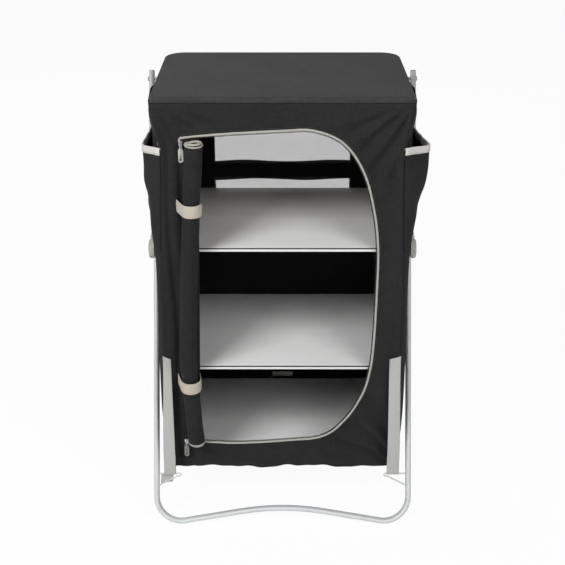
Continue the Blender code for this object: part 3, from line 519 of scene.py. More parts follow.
def join(things, name):
    work = bmesh.new()
    materials = []
    for thing in things:
        offset = len(materials)
        materials += list(thing.data.materials)
        copy = thing.data.copy()
        for face in copy.polygons:
            face.material_index += offset
        work.from_mesh(copy)
        bpy.data.meshes.remove(copy)
    mesh = bpy.data.meshes.new(name)
    work.to_mesh(mesh)
    work.free()
    for material in materials:
        mesh.materials.append(material)
    for thing in things:
        bpy.data.objects.remove(thing)
    return linked(name, mesh)


# geometry nodes: a round cord along a line, and small pieces set in a row along a line

def socketOf(tree, name):
    return next(item.identifier for item in tree.interface.items_tree if item.name == name)


def newTree(name, **inputs):
    tree = bpy.data.node_groups.new(name, "GeometryNodeTree")
    tree.interface.new_socket("Geometry", in_out="INPUT", socket_type="NodeSocketGeometry")
    for label, value in inputs.items():
        kind = "NodeSocketInt" if isinstance(value, int) else "NodeSocketFloat"
        tree.interface.new_socket(label, in_out="INPUT", socket_type=kind).default_value = value
    tree.interface.new_socket("Material", in_out="INPUT", socket_type="NodeSocketMaterial")
    tree.interface.new_socket("Geometry", in_out="OUTPUT", socket_type="NodeSocketGeometry")
    return tree


def treeNode(tree, kind, links, **settings):
    node = tree.nodes.new(kind)
    for key, value in settings.items():
        setattr(node, key, value)
    for key, source in links.items():
        if isinstance(source, bpy.types.NodeSocket):
            tree.links.new(source, node.inputs[key])
        else:
            node.inputs[key].default_value = source
    return node


def painted(tree, start, geometry):
    real = treeNode(tree, "GeometryNodeRealizeInstances", {"Geometry": geometry})
    smooth = treeNode(tree, "GeometryNodeSetShadeSmooth", {"Geometry": real.outputs[0]})
    finished = treeNode(tree, "GeometryNodeSetMaterial",
                        {"Geometry": smooth.outputs[0], "Material": start["Material"]})
    treeNode(tree, "NodeGroupOutput", {0: finished.outputs[0]})
    return tree


def cordTree():
    tree = newTree("cordAlongLine", Radius=0.003, Sides=12)
    start = tree.nodes.new("NodeGroupInput").outputs
    line = treeNode(tree, "GeometryNodeMeshToCurve", {"Mesh": start["Geometry"]})
    ring = treeNode(tree, "GeometryNodeCurvePrimitiveCircle",
                    {"Resolution": start["Sides"], "Radius": start["Radius"]})
    cord = treeNode(tree, "GeometryNodeCurveToMesh",
                    {"Curve": line.outputs[0], "Profile Curve": ring.outputs[0], "Fill Caps": True})
    return painted(tree, start, cord.outputs[0])


def rowTree():
    tree = newTree("piecesInARow", Spacing=0.004, Length=0.003, Thickness=0.0004, Seed=4)
    start = tree.nodes.new("NodeGroupInput").outputs
    line = treeNode(tree, "GeometryNodeMeshToCurve", {"Mesh": start["Geometry"]})
    points = treeNode(tree, "GeometryNodeCurveToPoints",
                      {"Curve": line.outputs[0], "Length": start["Spacing"]}, mode="LENGTH")
    piece = treeNode(tree, "GeometryNodeMeshCylinder",
                     {"Vertices": 6, "Radius": start["Thickness"], "Depth": start["Length"]})
    vary = treeNode(tree, "FunctionNodeRandomValue", {2: 0.88, 3: 1.08, "Seed": start["Seed"]},
                    data_type="FLOAT")
    laid = treeNode(tree, "GeometryNodeInstanceOnPoints",
                    {"Points": points.outputs["Points"], "Instance": piece.outputs["Mesh"],
                     "Rotation": points.outputs["Rotation"], "Scale": vary.outputs[1]})
    return painted(tree, start, laid.outputs[0])


trees = {"cord": cordTree(), "row": rowTree()}


def lineObject(name, lines):
    verts, edges = [], []
    for points in lines:
        first = len(verts)
        verts += [Vector(p) for p in points]
        edges += [(first + i, first + i + 1) for i in range(len(points) - 1)]
    mesh = bpy.data.meshes.new(name)
    mesh.from_pydata(verts, edges, [])
    return linked(name, mesh)


def grow(thing, treeName, finish, **values):
    step = thing.modifiers.new(treeName, "NODES")
    step.node_group = trees[treeName]
    for label, value in values.items():
        step[socketOf(trees[treeName], label)] = value
    step[socketOf(trees[treeName], "Material")] = finishes[finish]
    return settle(thing)


def cordAlong(name, lines, radius, finish, sides=12):
    return grow(lineObject(name, lines), "cord", finish, Radius=radius, Sides=sides)


def stitches(name, lines, finish="thread", spacing=0.0042, length=0.0030, thickness=0.00035, seed=4):
    return grow(lineObject(name, lines), "row", finish, Spacing=spacing, Length=length,
                Thickness=thickness, Seed=seed)


def rides(thing, body, node=None):
    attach(thing, body)
    if node:
        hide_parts(node)
    return thing


def hangs(thing, slotName="cloth", node=None, **sheet):
    # cloth of the body: it moves with the cupboard
    rides(thing, "cupboard", node)
    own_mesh(thing)
    return thing


# the shape of the cloth

def seamHalf(z):
    # half the front's width between its side seams
    c = cupboard
    middle = (c["pinchZ"] + c["hemZ"]) / 2
    if z > c["pinchZ"]:
        return mix(c["seamPinch"], c["seamTop"], ease((z - c["pinchZ"]) / (c["panelTopZ"] - c["pinchZ"])))
    if z > middle:
        return mix(c["seamWaist"], c["seamPinch"], ease((z - middle) / (c["pinchZ"] - middle)))
    return mix(c["seamTop"], c["seamWaist"], ease((z - c["hemZ"]) / (middle - c["hemZ"])))


def hemLine(x):
    sway = 0.0030 * math.sin(x * 30.1) + 0.0022 * math.sin(x * 71 + 1.0) + 0.0010 * math.sin(x * 141)
    return cupboard["hemZ"] + sway * (1 - (abs(x) / cupboard["seamTop"]) ** 2)


cornerFolds = [
    # fans of folds out of the upper right, lower right and upper left corner
    {"x": 0.280, "z": 1.005, "up": 1, "period": 0.300, "seed": 3.1, "depth": 0.0110,
     "near": 0.06, "calm": 0.25, "far": 0.17, "fade": 0.13, "first": 0.30, "last": 1.50},
    {"x": 0.300, "z": 0.085, "up": -1, "period": 0.300, "seed": 8.0, "depth": 0.0110,
     "near": 0.08, "calm": 0.30, "far": 0.17, "fade": 0.14, "first": 0.20, "last": math.pi},
    {"x": -0.285, "z": 1.010, "up": 1, "period": 0.260, "seed": 5.5, "depth": 0.0060,
     "near": 0.07, "calm": 0.30, "far": 0.12, "fade": 0.13, "first": 0.25, "last": math.pi},
]
bandFolds = [
    # long folds at the right, above the door and over the hem
    {"depth": 0.0036, "z": 0.56, "spread": 0.24, "way": (0.96, -0.16), "period": 0.0120,
     "warp": 2.4, "size": 0.20, "seed": 5.2, "fromX": 0.0},
    {"depth": 0.0026, "z": 0.955, "spread": 0.03, "way": (1.0, 0.0), "period": 0.019,
     "warp": 3.0, "size": 0.12, "seed": 6.4, "fromX": -1.0},
    {"depth": 0.0036, "z": 0.135, "spread": 0.035, "way": (1.0, 0.5), "period": 0.0150,
     "warp": -3.0, "size": 0.10, "seed": 9.4, "fromX": -1.0},
]
leftPleats = {"depth": 0.0060, "fromX": 0.196, "period": 0.0052, "topZ": 0.95}


def cornerFold(x, z, fold):
    across = (fold["x"] - x) * (1 if fold["x"] > 0 else -1)
    angle = fold["up"] * math.atan2(fold["z"] - z, across)
    warp = 2.2 * rumple(x, 0, z, 0.11, fold["seed"])
    ridge = swing(angle / fold["period"] * math.tau + warp) ** 1.3
    far = math.hypot(x - fold["x"], z - fold["z"])
    held = ease(far / fold["near"] - fold["calm"]) * (1 - ease((far - fold["far"]) / fold["fade"]))
    held *= ease((angle - fold["first"]) / 0.3) * ease((fold["last"] - angle) / 0.25)
    return fold["depth"] * held * (1 - ridge)


def bandFold(x, z, fold):
    alongX, alongZ = fold["way"]
    warp = fold["warp"] * rumple(x, 0, z, fold["size"], fold["seed"])
    wave = swing((x * alongX + z * alongZ) / fold["period"] + warp)
    return fold["depth"] * (x > fold["fromX"]) * bell(z, fold["z"], fold["spread"]) * wave


def frontDepth(x, z):
    # how far the front cloth lies behind its flat plane
    top = ease((0.986 - z) / 0.045)
    foot = ease((z - cupboard["hemZ"]) / 0.05 + 0.35)
    edge = ease((seamHalf(z) - abs(x)) / 0.018)
    gap = ease(doorGap(x, z) / 0.024 - 0.12)
    depth = sum(cornerFold(x, z, fold) for fold in cornerFolds)
    depth += sum(bandFold(x, z, fold) for fold in bandFolds)
    p = leftPleats
    pleat = swing(-(x + 0.006 * math.sin(z * 9)) / p["period"] + 1.6 * rumple(0, 0, z, 0.30, 2.0)) ** 1.5
    depth += p["depth"] * ease((-x - p["fromX"]) / 0.012) * pleat * ease((p["topZ"] - z) / 0.10)
    fine = 0.0005 * rumple(x, 0, z, 0.030, 1.7) + 0.0012 * rumple(x, 0, z, 0.080, 4.4)
    behindSkirt = 0.0008 * ease((z - 0.983) / 0.004)
    return max(depth * top * foot * edge * max(gap, 0.10) + fine * top * gap, -0.0003) + behindSkirt


def frontAt(x, z):
    return cupboard["frontY"] + frontDepth(x, z)


doorEdge = {
    # from the upper left corner over the arch and back to the lower left, in x and z
    "points": [(-0.2090, 0.915), (-0.138, 0.922), (-0.005, 0.930), (0.066, 0.930), (0.128, 0.901),
               (0.171, 0.836), (0.195, 0.747), (0.205, 0.666), (0.206, 0.571), (0.204, 0.447),
               (0.198, 0.370), (0.182, 0.305), (0.144, 0.237), (0.094, 0.193), (0.017, 0.182),
               (-0.111, 0.174), (-0.2235, 0.182)],
    "shoulder": 4, "foot": 13, "perSpan": 14,
    "lowZ": 0.182, "rise": 0.733, "leftLow": -0.1915, "leftTop": -0.1715,
}


def throughPoints(points, perSpan):
    # a smooth line through the points
    p = [Vector((a, b, 0)) for a, b in points]
    line = []
    for i in range(len(p) - 1):
        before, after = p[max(i - 1, 0)], p[min(i + 2, len(p) - 1)]
        a = p[i] + (p[i + 1] - before) / 6
        b = p[i + 1] - (after - p[i]) / 6
        curve = geometry.interpolate_bezier(p[i], a, b, p[i + 1], perSpan + 1)
        line += [Vector((q.x, q.y)) for q in curve[:-1]]
    return line + [Vector(points[-1])]


doorRound = throughPoints(doorEdge["points"], doorEdge["perSpan"])
doorMarks = doorRound[::4]


def doorGap(x, z):
    return min(math.hypot(p.x - x, p.y - z) for p in doorMarks)


def drawnIn(line, inset, leftShift=False):
    # the line moved into the door, and at its left kept clear of the roll
    result = []
    for i, p in enumerate(line):
        way = (line[min(i + 1, len(line) - 1)] - line[max(i - 1, 0)]).normalized()
        point = p + Vector((way.y, -way.x)) * inset
        if leftShift:
            up = (point.y - doorEdge["lowZ"]) / doorEdge["rise"]
            point.x = max(point.x, mix(doorEdge["leftLow"], doorEdge["leftTop"], up))
        result.append(point)
    return result


# front panel: rings of cloth between the door's edge and the panel's own outline

frontCloth = {"rings": 34, "edgeInset": 0.002, "left": 110, "level": 150, "right": 210}


def makeFrontPanel():
    c, f = cupboard, frontCloth
    inner = drawnIn(doorRound, f["edgeInset"], True)
    shoulder, foot = (doorEdge[key] * doorEdge["perSpan"] for key in ("shoulder", "foot"))
    leftRun = [inner[-1].lerp(inner[0], i / 40) for i in range(41)]
    pieces = [(leftRun, f["left"]), (inner[:shoulder + 1], f["level"]),
              (inner[shoulder:foot + 1], f["right"]), (inner[foot:], f["level"])]
    runs = [evenly([(p.x, p.y, 0) for p in run], count) for run, count in pieces]
    acrossTop = steps(-c["seamTop"], c["seamTop"], f["level"] - 1)
    outer = [[(-seamHalf(z), z) for z in steps(c["hemZ"], c["panelTopZ"], f["left"] - 1)],
             [(x, c["panelTopZ"]) for x in acrossTop],
             [(seamHalf(z), z) for z in steps(c["panelTopZ"], c["hemZ"], f["right"] - 1)],
             [(-x, hemLine(-x)) for x in acrossTop]]
    uvRows = []
    for share in steps(0.0, 1.0, f["rings"] - 1):
        uvRows.append([(mix(a[0], b[0], share), mix(a[1], b[1], share))
                       for innerRun, outerRun in zip(runs, outer)
                       for a, b in zip(innerRun[:-1], outerRun[:-1])])
    rows = [[(x, frontAt(x, z), z) for x, z in row] for row in uvRows]
    panel = gridSheet("frontPanel", rows, "bodyCloth", c["cloth"], closed=True, uvRows=uvRows)
    hangs(panel, "cloth", "front_panel", flat=(0.54, 0.885), held="stretched", rests_on=["top_frame"],
          area=0.205)


# side panels, with a slot for the rear leg and holes for the bolt and latch

sideCloth = {
    "rows": 74, "points": 58, "bulge": 0.0145, "face": 0.0009, "slotGap": 0.004, "rearX": 0.2243,
    "waistZ": 0.60, "waistSpread": 0.13, "mouthZ": 0.885, "mouthSpread": 0.085,
    # share of the depth, fullness, and the distance out where the pocket's mouth draws the corner in
    "front": [(0.055, 0.60, 0.006), (0.13, 0.82, 0.012), (0.24, 0.96, 0.022), (0.34, 1.0, 0.030)],
    "rear": [(0.46, 1.0), (0.65, 0.95), (0.82, 0.55)],
}


def sideSection(z, side):
    # the cloth at one height, from the front seam round the rear corner, in x and y
    c, s = cupboard, sideCloth
    start = seamHalf(z)
    front, rear = frontAt(start, z), c["backY"]
    top, radius = c["topHalf"] - s["face"], c["cornerRadius"] - s["face"]
    depth = rear - radius - front
    waist = 1 - 0.45 * bell(z, s["waistZ"], s["waistSpread"])    # the crossing legs hold it in
    full = s["bulge"] * waist * ease((z - c["hemZ"]) / (c["pinchZ"] - c["hemZ"]) * 4 + 0.2)
    frontFull = top + full * ease((c["panelTopZ"] - z) / 0.080)
    rearFull = top + full * ease((c["panelTopZ"] - z) / (c["panelTopZ"] - c["pinchZ"]))
    away = 1 - bell(z, s["mouthZ"], s["mouthSpread"])
    shape = [(start - 0.0030, front + 0.0016), (start + 0.0012, front + 0.0014)]
    for along, out, tucked in s["front"]:
        swollen = max(mix(top, frontFull, out), start + 0.004)
        shape.append((mix(start + tucked, swollen, away), front + depth * along))
    shape += [(mix(top, rearFull, out), front + depth * along) for along, out in s["rear"]]
    shape += [(top - radius + radius * math.cos(turn), rear - radius + radius * math.sin(turn))
              for turn in steps(0.0, math.pi / 2, 6)]
    shape.append((s["rearX"], rear))
    result = []
    for x, y in evenly(shape, s["points"]):
        calm = ease((y - front) / 0.03) * ease((rear - y) / 0.05) * ease((c["panelTopZ"] - z) / 0.04)
        lines = swing(y / 0.019 + 2.2 * rumple(0, y, z, 0.22, 3.0 * side + 11))
        creases = swing((y * 0.75 + z * 0.66) / 0.021 + 2 * rumple(0, y, z, 0.12, 17 + side))
        push = 0.0007 * rumple(0, y, z, 0.05, 21 + side)
        push -= 0.0012 * lines * bell(z, 0.38, 0.30) + 0.0014 * creases * bell(z, 0.90, 0.09)
        result.append((x + push * calm, y))
    return result


def legSlot(side, finish):
    # a tool along the rear leg, a little larger than its tube
    place = legPlane(1)
    w, d = legs["width"] / 2 + sideCloth["slotGap"], legs["depth"] / 2 + sideCloth["slotGap"]
    loops = [circle(28, lambda c, s: place(side * legs["rearHalf"] + c * w, down, s * d))
             for down in (-0.42, 0.9)]
    return meshObject("slotTool", *rings(loops), finish)


def makeSidePanel(label, side):
    c = cupboard
    rows = [[(side * x, y, z) for x, y in sideSection(z, side)]
            for z in steps(c["hemZ"], c["panelTopZ"], sideCloth["rows"] - 1)]
    panel = gridSheet("sidePanel" + label.title(), rows, "bodyCloth", c["cloth"])
    panel = cut(panel, legSlot(side, "bodyCloth"))
    for y, z, inner, radius in ((0, c["pivotZ"], 0.24, 0.009), (-c["hingeY"], c["hingeZ"], 0.25, 0.005)):
        tool = turnedX("holeTool", y, z, side, [(inner, radius), (0.30, radius)], "bodyCloth")
        panel = cut(panel, tool)
    hangs(panel, "cloth", "side_panel_" + label, flat=(0.435, 0.885), held="stretched",
          rests_on=["top_frame"])
    seam = [(p[0] + side * 0.0009, p[1], p[2] - 0.006) for p in evenly(rows[-2], 120)[8:-16]]
    hangs(stitches("sideStitches" + label.title(), [seam], seed=5))


# back panel with two net windows and a lower loop

backWall = {
    "half": 0.229, "window": 0.164, "upper": (0.733, 0.935), "lower": (0.496, 0.685),
    "wave": 0.0020, "calmHalf": 0.2291, "seamX": 0.2215, "netLap": (0.004, 0.006),
}


def backAt(x, z):
    b, c = backWall, cupboard
    calm = ease((b["calmHalf"] - abs(x)) / 0.05) * ease((c["panelTopZ"] - z) / 0.04)
    sway = 0.0010 * rumple(x, 0, z, 0.09, 31) + 0.0006 * math.sin(x / 0.02 + 3 * rumple(x, 0, z, 0.2, 33))
    tucked = 0.0018 * ease((abs(x) - b["seamX"]) / 0.002)    # the edge lies behind the side panel
    return c["backY"] + min(sway * calm, 0.0008) - tucked


def dropLoose(work):
    bmesh.ops.delete(work, geom=[v for v in work.verts if not v.link_faces], context="VERTS")


def makeBackPanel():
    b, c = backWall, cupboard
    half, win = b["half"], b["window"]
    xs = steps(-half, -win, 8) + steps(-win, win, 40)[1:] + steps(win, half, 8)[1:]
    marks = [c["hemZ"], *b["lower"], *b["upper"], c["panelTopZ"]]
    zs = marks[:1]
    for low, high, count in zip(marks, marks[1:], (36, 24, 6, 24, 6)):
        zs += steps(low, high, count)[1:]
    verts = []
    for z in zs:
        for x in xs:
            wave = sum(bell(z, mark, 0.012) * math.sin(x / 0.034 + mark * 23) for mark in marks[1:5])
            verts.append((x, backAt(x, z), z + b["wave"] * wave))
    faces = []
    for r in range(len(zs) - 1):
        for k in range(len(xs) - 1):
            x, z = (xs[k] + xs[k + 1]) / 2, (zs[r] + zs[r + 1]) / 2
            if abs(x) < win and any(low < z < high for low, high in (b["upper"], b["lower"])):
                continue
            a = r * len(xs) + k
            faces.append((a, a + 1, a + 1 + len(xs), a + len(xs)))
    # the back panel takes the darker cloth, whose extra darkness is painted shade
    sheet = meshObject("backPanel", verts, faces, "innerCloth", [(x, z) for z in zs for x in xs])
    remake(sheet.data, dropLoose)
    panel = thicken(sheet, c["cloth"])
    hangs(panel, "cloth", "back_panel", flat=(0.458, 0.88), held="stretched", rests_on=["top_frame"],
          area=0.2748)
    seams = []
    for label in ("upper", "lower"):
        low, high = b[label]
        lapX, lapZ = b["netLap"]
        uvRows = [[(x, z) for x in steps(-win - lapX, win + lapX, 40)]
                  for z in steps(low - lapZ, high + lapZ, 24)]
        rows = [[(x, backAt(x, z) - 0.0010, z) for x, z in row] for row in uvRows]
        net = gridSheet("window" + label.title(), rows, "net", 0.0004, uvRows=uvRows)
        hangs(net, "mesh", "window_" + label, flat=(2 * win + 2 * lapX, high - low + 2 * lapZ),
              held="stretched", rests_on=["backPanel"])
        w, foot, head = win + 0.005, low - 0.008, high + 0.008
        line = evenly([(-w, 0, foot), (w, 0, foot), (w, 0, head), (-w, 0, head), (-w, 0, foot)], 200)
        seams += [[(p[0], backAt(p[0], p[2]) + off, p[2]) for p in line] for off in (0.0008, -0.0014)]
    hangs(stitches("windowStitches", seams, seed=9))
    rows = [[(x, 0.1965 - 0.002 * hump(t), mix(0.1288, 0.1412, t)) for x in steps(-0.0265, 0.0265, 16)]
            for t in steps(0.0, 1.0, 12)]
    loop = gridSheet("backLoop", rows, "strapTape", 0.0012)
    hangs(loop, "webbing", "back_loop", flat=(0.053, 0.0135), held="laid", rests_on=["backPanel"])


def weld(work):
    bmesh.ops.remove_doubles(work, verts=work.verts, dist=0.00001)
    outwards(work)


bottom = {"half": 0.2655, "front": -0.1815, "rear": 0.1970, "radius": 0.040, "above": 0.0010, "sag": 0.0014}


def makeBottomPanel():
    b = bottom
    z = cupboard["hemZ"] + b["above"]
    corner = [(b["half"] - b["radius"] + b["radius"] * math.cos(turn),
               b["rear"] - b["radius"] + b["radius"] * math.sin(turn)) for turn in steps(0.0, math.pi / 2, 8)]
    outline = [(-b["half"], b["front"]), (b["half"], b["front"])] + corner
    outline += [(-x, y) for x, y in reversed(corner)]
    line = evenly([(x, y, 0) for x, y in outline + outline[:1]], 161)[:-1]
    uvRows = [[(p[0] * t, p[1] * t) for p in line] for t in steps(1.0, 0.015, 14)]
    rows = []
    for t, uvRow in zip(steps(1.0, 0.015, 14), uvRows):
        rows.append([(x, y, z - b["sag"] * hump(t) * abs(rumple(x, y, 0, 0.06, 41))) for x, y in uvRow])
    rows.append([(0.0, 0.0, z)] * len(line))
    uvRows.append([(0.0, 0.0)] * len(line))
    # the bottom takes the same darker cloth, whose extra darkness is painted shade
    sheet = gridSheet("bottomPanel", rows, "innerCloth", 0.0, closed=True, uvRows=uvRows)
    remake(sheet.data, weld)
    panel = thicken(sheet, 0.0012)
    for _, side in bothSides:
        panel = cut(panel, legSlot(side, "innerCloth"))
    hangs(panel, "cloth", "bottom_panel", flat=(0.531, 0.3785), held="stretched",
          rests_on=["sidePanelLeft", "sidePanelRight"], area=0.199)


# top cover: stretched over the board, with a turned hem

topCover = {
    "edge": 0.0045, "rear": 0.2000, "front": -0.1900, "frontRadius": 0.006, "topZ": 0.9994,
    "crown": 0.0006, "thickness": 0.0012, "seamZ": 0.9903,
    # height and distance in for each row of the skirt, down to its hem
    "skirt": [(0.9940, 0.0), (0.9922, -0.0002), (0.9912, -0.0008), (0.9904, 0.0004), (0.9896, -0.0008),
              (0.9888, -0.0010), (0.9882, -0.0004)],
}


def topOutline(inset, count=220):
    t = topCover
    half, front, rear = cupboard["topHalf"] - inset, t["front"] + inset, t["rear"] - inset
    r, f = cupboard["cornerRadius"] - inset, t["frontRadius"]
    points = []
    for cx, cy, radius, first in ((half - f, front + f, f, -90), (half - r, rear - r, r, 0),
                                  (-half + r, rear - r, r, 90), (-half + f, front + f, f, 180)):
        for turn in steps(math.radians(first), math.radians(first + 90), 8):
            points.append((cx + radius * math.cos(turn), cy + radius * math.sin(turn), 0))
    return evenly(points + points[:1], count + 1)[:-1]


def skirtSway(p):
    return 0.0005 * rumple(p[0], p[1], 0, 0.05, 53)


def makeTopCover():
    t = topCover
    base = topOutline(t["edge"])
    rows, uvRows = [], []
    for share in [0.02] + steps(1 / 16, 15 / 16, 14):
        uvRow = [(p[0] * share, p[1] * share) for p in base]
        crown = t["topZ"] + t["crown"] * hump(0.5 + share / 2)
        rows.append([(x, y, crown + 0.0004 * rumple(x, y, 0, 0.07, 51) * hump(share)) for x, y in uvRow])
        uvRows.append(uvRow)
    for turn in steps(0.0, math.pi / 2, 6):
        z = t["topZ"] - t["edge"] * (1 - math.cos(turn))
        outline = topOutline(t["edge"] * (1 - math.sin(turn)) + 0.0004)
        rows.append([(p[0], p[1], z) for p in outline])
        uvRows.append([(p[0] * 1.01, p[1] * 1.01) for p in outline])
    for z, inset in t["skirt"]:
        row = [(p[0], p[1], z + skirtSway(p)) for p in topOutline(inset)]
        rows.append(row)
        uvRows.append([(p[0] + p[1], p[2]) for p in row])
    # the cover takes the lighter cloth, whose extra lightness is painted light
    sheet = gridSheet("topCover", rows, "topClothPaintedLight", 0.0, closed=True, uvRows=uvRows)

    def closeMiddle(work):
        hub = [v for v in work.verts if v.index < len(base)]
        rim = [e for e in work.edges if e.verts[0] in hub and e.verts[1] in hub]
        bmesh.ops.contextual_create(work, geom=rim)
        outwards(work)

    remake(sheet.data, closeMiddle)
    cover = rides(thicken(sheet, t["thickness"], -1.0), "cupboard", "top_cover")
    line = [(p[0], p[1], t["seamZ"] + skirtSway(p)) for p in topOutline(0.0001)]
    sewn = stitches("coverStitches", [line + line[:1]], spacing=0.0036, length=0.0026, seed=6)
    rides(sewn, "cupboard")


# pockets

def stationed(stations, at, soft):
    # the value at a place between (place, value) stations, eased by the share soft
    for (a, low), (b, high) in zip(stations, stations[1:]):
        if at <= b:
            share = (at - a) / (b - a)
            return mix(low, high, ease(share) * soft + share * (1 - soft))
    return stations[-1][1]


pocketCloth = {
    "rim": 0.8760, "foot": 0.6600, "rear": 0.020, "binding": 0.0145, "sag": 0.0075,
    "left": {"flare": 0.027, "full": 2.1}, "right": {"flare": 0.042, "full": 1.6},
    # how far the mouth stands open along its width
    "open": [(0.0, 0.0), (0.06, 0.24), (0.13, 0.62), (0.20, 0.95), (0.245, 1.0), (0.30, 0.84),
             (0.42, 0.46), (0.56, 0.17), (0.72, 0.04), (0.88, 0.0), (1.0, 0.0)],
}


def sideOuter(y, z, side):
    section = sideSection(z, side)
    for (xa, ya), (xb, yb) in zip(section, section[1:]):
        if ya <= y <= yb:
            return mix(xa, xb, (y - ya) / (yb - ya)) + sideCloth["face"]
    return section[0][0] + sideCloth["face"]


def pocketRow(z, side, lift, count=44):
    p = pocketCloth
    own = p["right"] if side > 0 else p["left"]
    rise = ease((z - p["foot"]) / (p["rim"] - p["foot"]))
    front = frontAt(seamHalf(z), z) + 0.0022
    row = []
    for t in steps(0.0, 1.0, count - 1):
        y = mix(front, p["rear"], t)
        wrinkle = math.sin((y * 0.9 + z * 0.5) / 0.0105 + 2 * rumple(0, y, z, 0.07, 61 + side))
        ripple = math.sin((z * 0.8 - y * 0.5) / 0.0125)
        crease = 0.0026 * hump(t) * ((1 - rise) * wrinkle + bell(z, 0.775, 0.07) * ripple)
        crease += 0.0012 * hump(t) * rumple(0, y, z, 0.035, 63 + side)
        crease += 0.0050 * bell(t, 0.40, 0.16) * bell(z, 0.715, 0.045)    # beside the front seam
        out = own["flare"] * rise ** own["full"] * stationed(p["open"], t, 0.4)
        x = sideOuter(y, z, side) + lift + out + max(crease, -0.001)
        row.append((side * x, y, z - p["sag"] * rise * bell(t, 0.23, 0.16)))
    return row


def makePocket(label, side):
    p = pocketCloth
    rows = [pocketRow(z, side, 0.0016) for z in steps(p["foot"], p["rim"] + 0.012, 40)]
    bag = gridSheet("pocket" + label.title(), rows, "bodyCloth", 0.0012)
    hangs(bag, "cloth", "pocket_" + label, flat=(0.236, 0.243), held="hung",
          rests_on=["sidePanel" + label.title()])
    start = p["rim"] + 0.0005
    outer, inner = [], []
    for t in steps(0.0, 1.0, 8):
        outer.append(pocketRow(start + p["binding"] * t, side, 0.0031 + 0.0005 * hump(t)))
        inner.append(pocketRow(start + p["binding"] * (1 - t), side, 0.0002 - 0.0003 * hump(t)))
    over = [tuple(Vector(a).lerp(Vector(b), 0.5) + Vector((0, 0, 0.0012)))
            for a, b in zip(outer[-1], inner[0])]
    trim = gridSheet("pocketBinding" + label.title(), outer + [over] + inner, "binding", 0.0009)
    hangs(trim, "binding", "pocket_binding_" + label, flat=(0.236, 0.032), held="folded",
          rests_on=["pocket" + label.title()])
    line = [(x + side * 0.0009, y, z) for x, y, z in pocketRow(start + 0.003, side, 0.0034, 60)]
    hangs(stitches("bindingStitches" + label.title(), [line], "paleThread", seed=7), "binding")


# door: piping round its edge, zip teeth inside it, and the cloth rolled up at its left

door = {
    "pipingRadius": 0.0024, "rollRadius": 0.0195, "runTop": -0.2095, "runLow": -0.2150,
    "hook": [(-0.0022, 0, -0.0090), (-0.0024, 0, -0.0050), (-0.0018, 0, -0.0020)],
}


def edgeRun(inset, offset):
    # along the door's edge, the given distances inside it and in front of the cloth
    points = [p for p in drawnIn(doorRound, inset)
              if p.x > (door["runTop"] if p.y > 0.5 else door["runLow"])]
    return [(p.x, frontAt(p.x, p.y) - offset, p.y) for p in points]


def makeDoorEdge():
    run = edgeRun(0.0, cupboard["cloth"] / 2 + door["pipingRadius"] * 0.75)
    hook = [tuple(Vector(run[0]) + Vector(p)) for p in door["hook"]]
    cord = cordAlong("doorPiping", [evenly(hook + run, 420)], door["pipingRadius"], "piping", 14)
    hangs(cord, "piping", "door_piping")
    tape = evenly(edgeRun(0.0040, 0.0010), 420)
    hangs(stitches("zipTeeth", [tape], "zipTeeth", spacing=0.0020, length=0.0013, thickness=0.0014,
                   seed=2), "steel")
    sewn = evenly(edgeRun(-0.0050, 0.0009), 400)
    hangs(stitches("edgeStitches", [sewn], spacing=0.0038, seed=8))


roll = {
    "turns": 4.3, "points": 150, "levels": 90, "lowZ": 0.1885, "topZ": 0.9075,
    "innerRadius": 0.0088, "endAngle": 150, "ties": (0.768, 0.350),
    # how far it bends out of a straight line, by height
    "bend": [(0.10, 0.005), (0.188, 0.003), (0.28, -0.005), (0.35, -0.0115), (0.42, -0.0150),
             (0.60, -0.0120), (0.765, -0.0060), (0.908, 0.0), (1.0, 0.0)],
}


def rollCentre(z):
    x = -mix(0.201, 0.180, (z - 0.188) / 0.720)
    return x + stationed(roll["bend"], z, 0.5), cupboard["clothFace"] - door["rollRadius"]


def rollPoint(turn, z):
    # the rolled cloth's spiral, outermost at turn 0
    x, y = rollCentre(z)
    share = turn / (roll["turns"] * math.tau)
    swell = 0.0006 * rumple(math.cos(turn), math.sin(turn), z * 9, 1.0, 71)
    swell += 0.0003 * math.sin(z / 0.014 + 2.0 * math.cos(turn + z * 6))
    squeeze = 0.0011 * sum(bell(z, tieZ, 0.022) for tieZ in roll["ties"])
    radius = mix(door["rollRadius"] - 0.0006, roll["innerRadius"], share)
    radius += min(swell * (1 - share), 0.0005) - squeeze * (1 - share)
    angle = math.radians(roll["endAngle"]) + turn
    return x + radius * math.cos(angle), y + radius * math.sin(angle), z


def makeRoll():
    r = roll
    rows = []
    for t in steps(0.0, 1.0, r["levels"] - 1):
        z = mix(r["lowZ"], r["topZ"], t)
        rows.append([rollPoint(turn, z + 0.0025 * math.sin(turn * 0.5) * (1 - 2 * t))
                     for turn in steps(0.0, r["turns"] * math.tau, r["points"] - 1)])
    hangs(gridSheet("doorRoll", rows, "rollCloth", 0.0011), "cloth", "door_roll", flat=(0.385, 0.72),
          held="folded", rests_on=["frontPanel"])
    ends = [[(x, y, z + off) for x, y, z in rows[end]] for end, off in ((0, -0.0005), (-1, 0.0005))]
    hangs(cordAlong("rollPiping", ends, 0.0017, "piping", 8), "piping")


tieWidth = 0.027


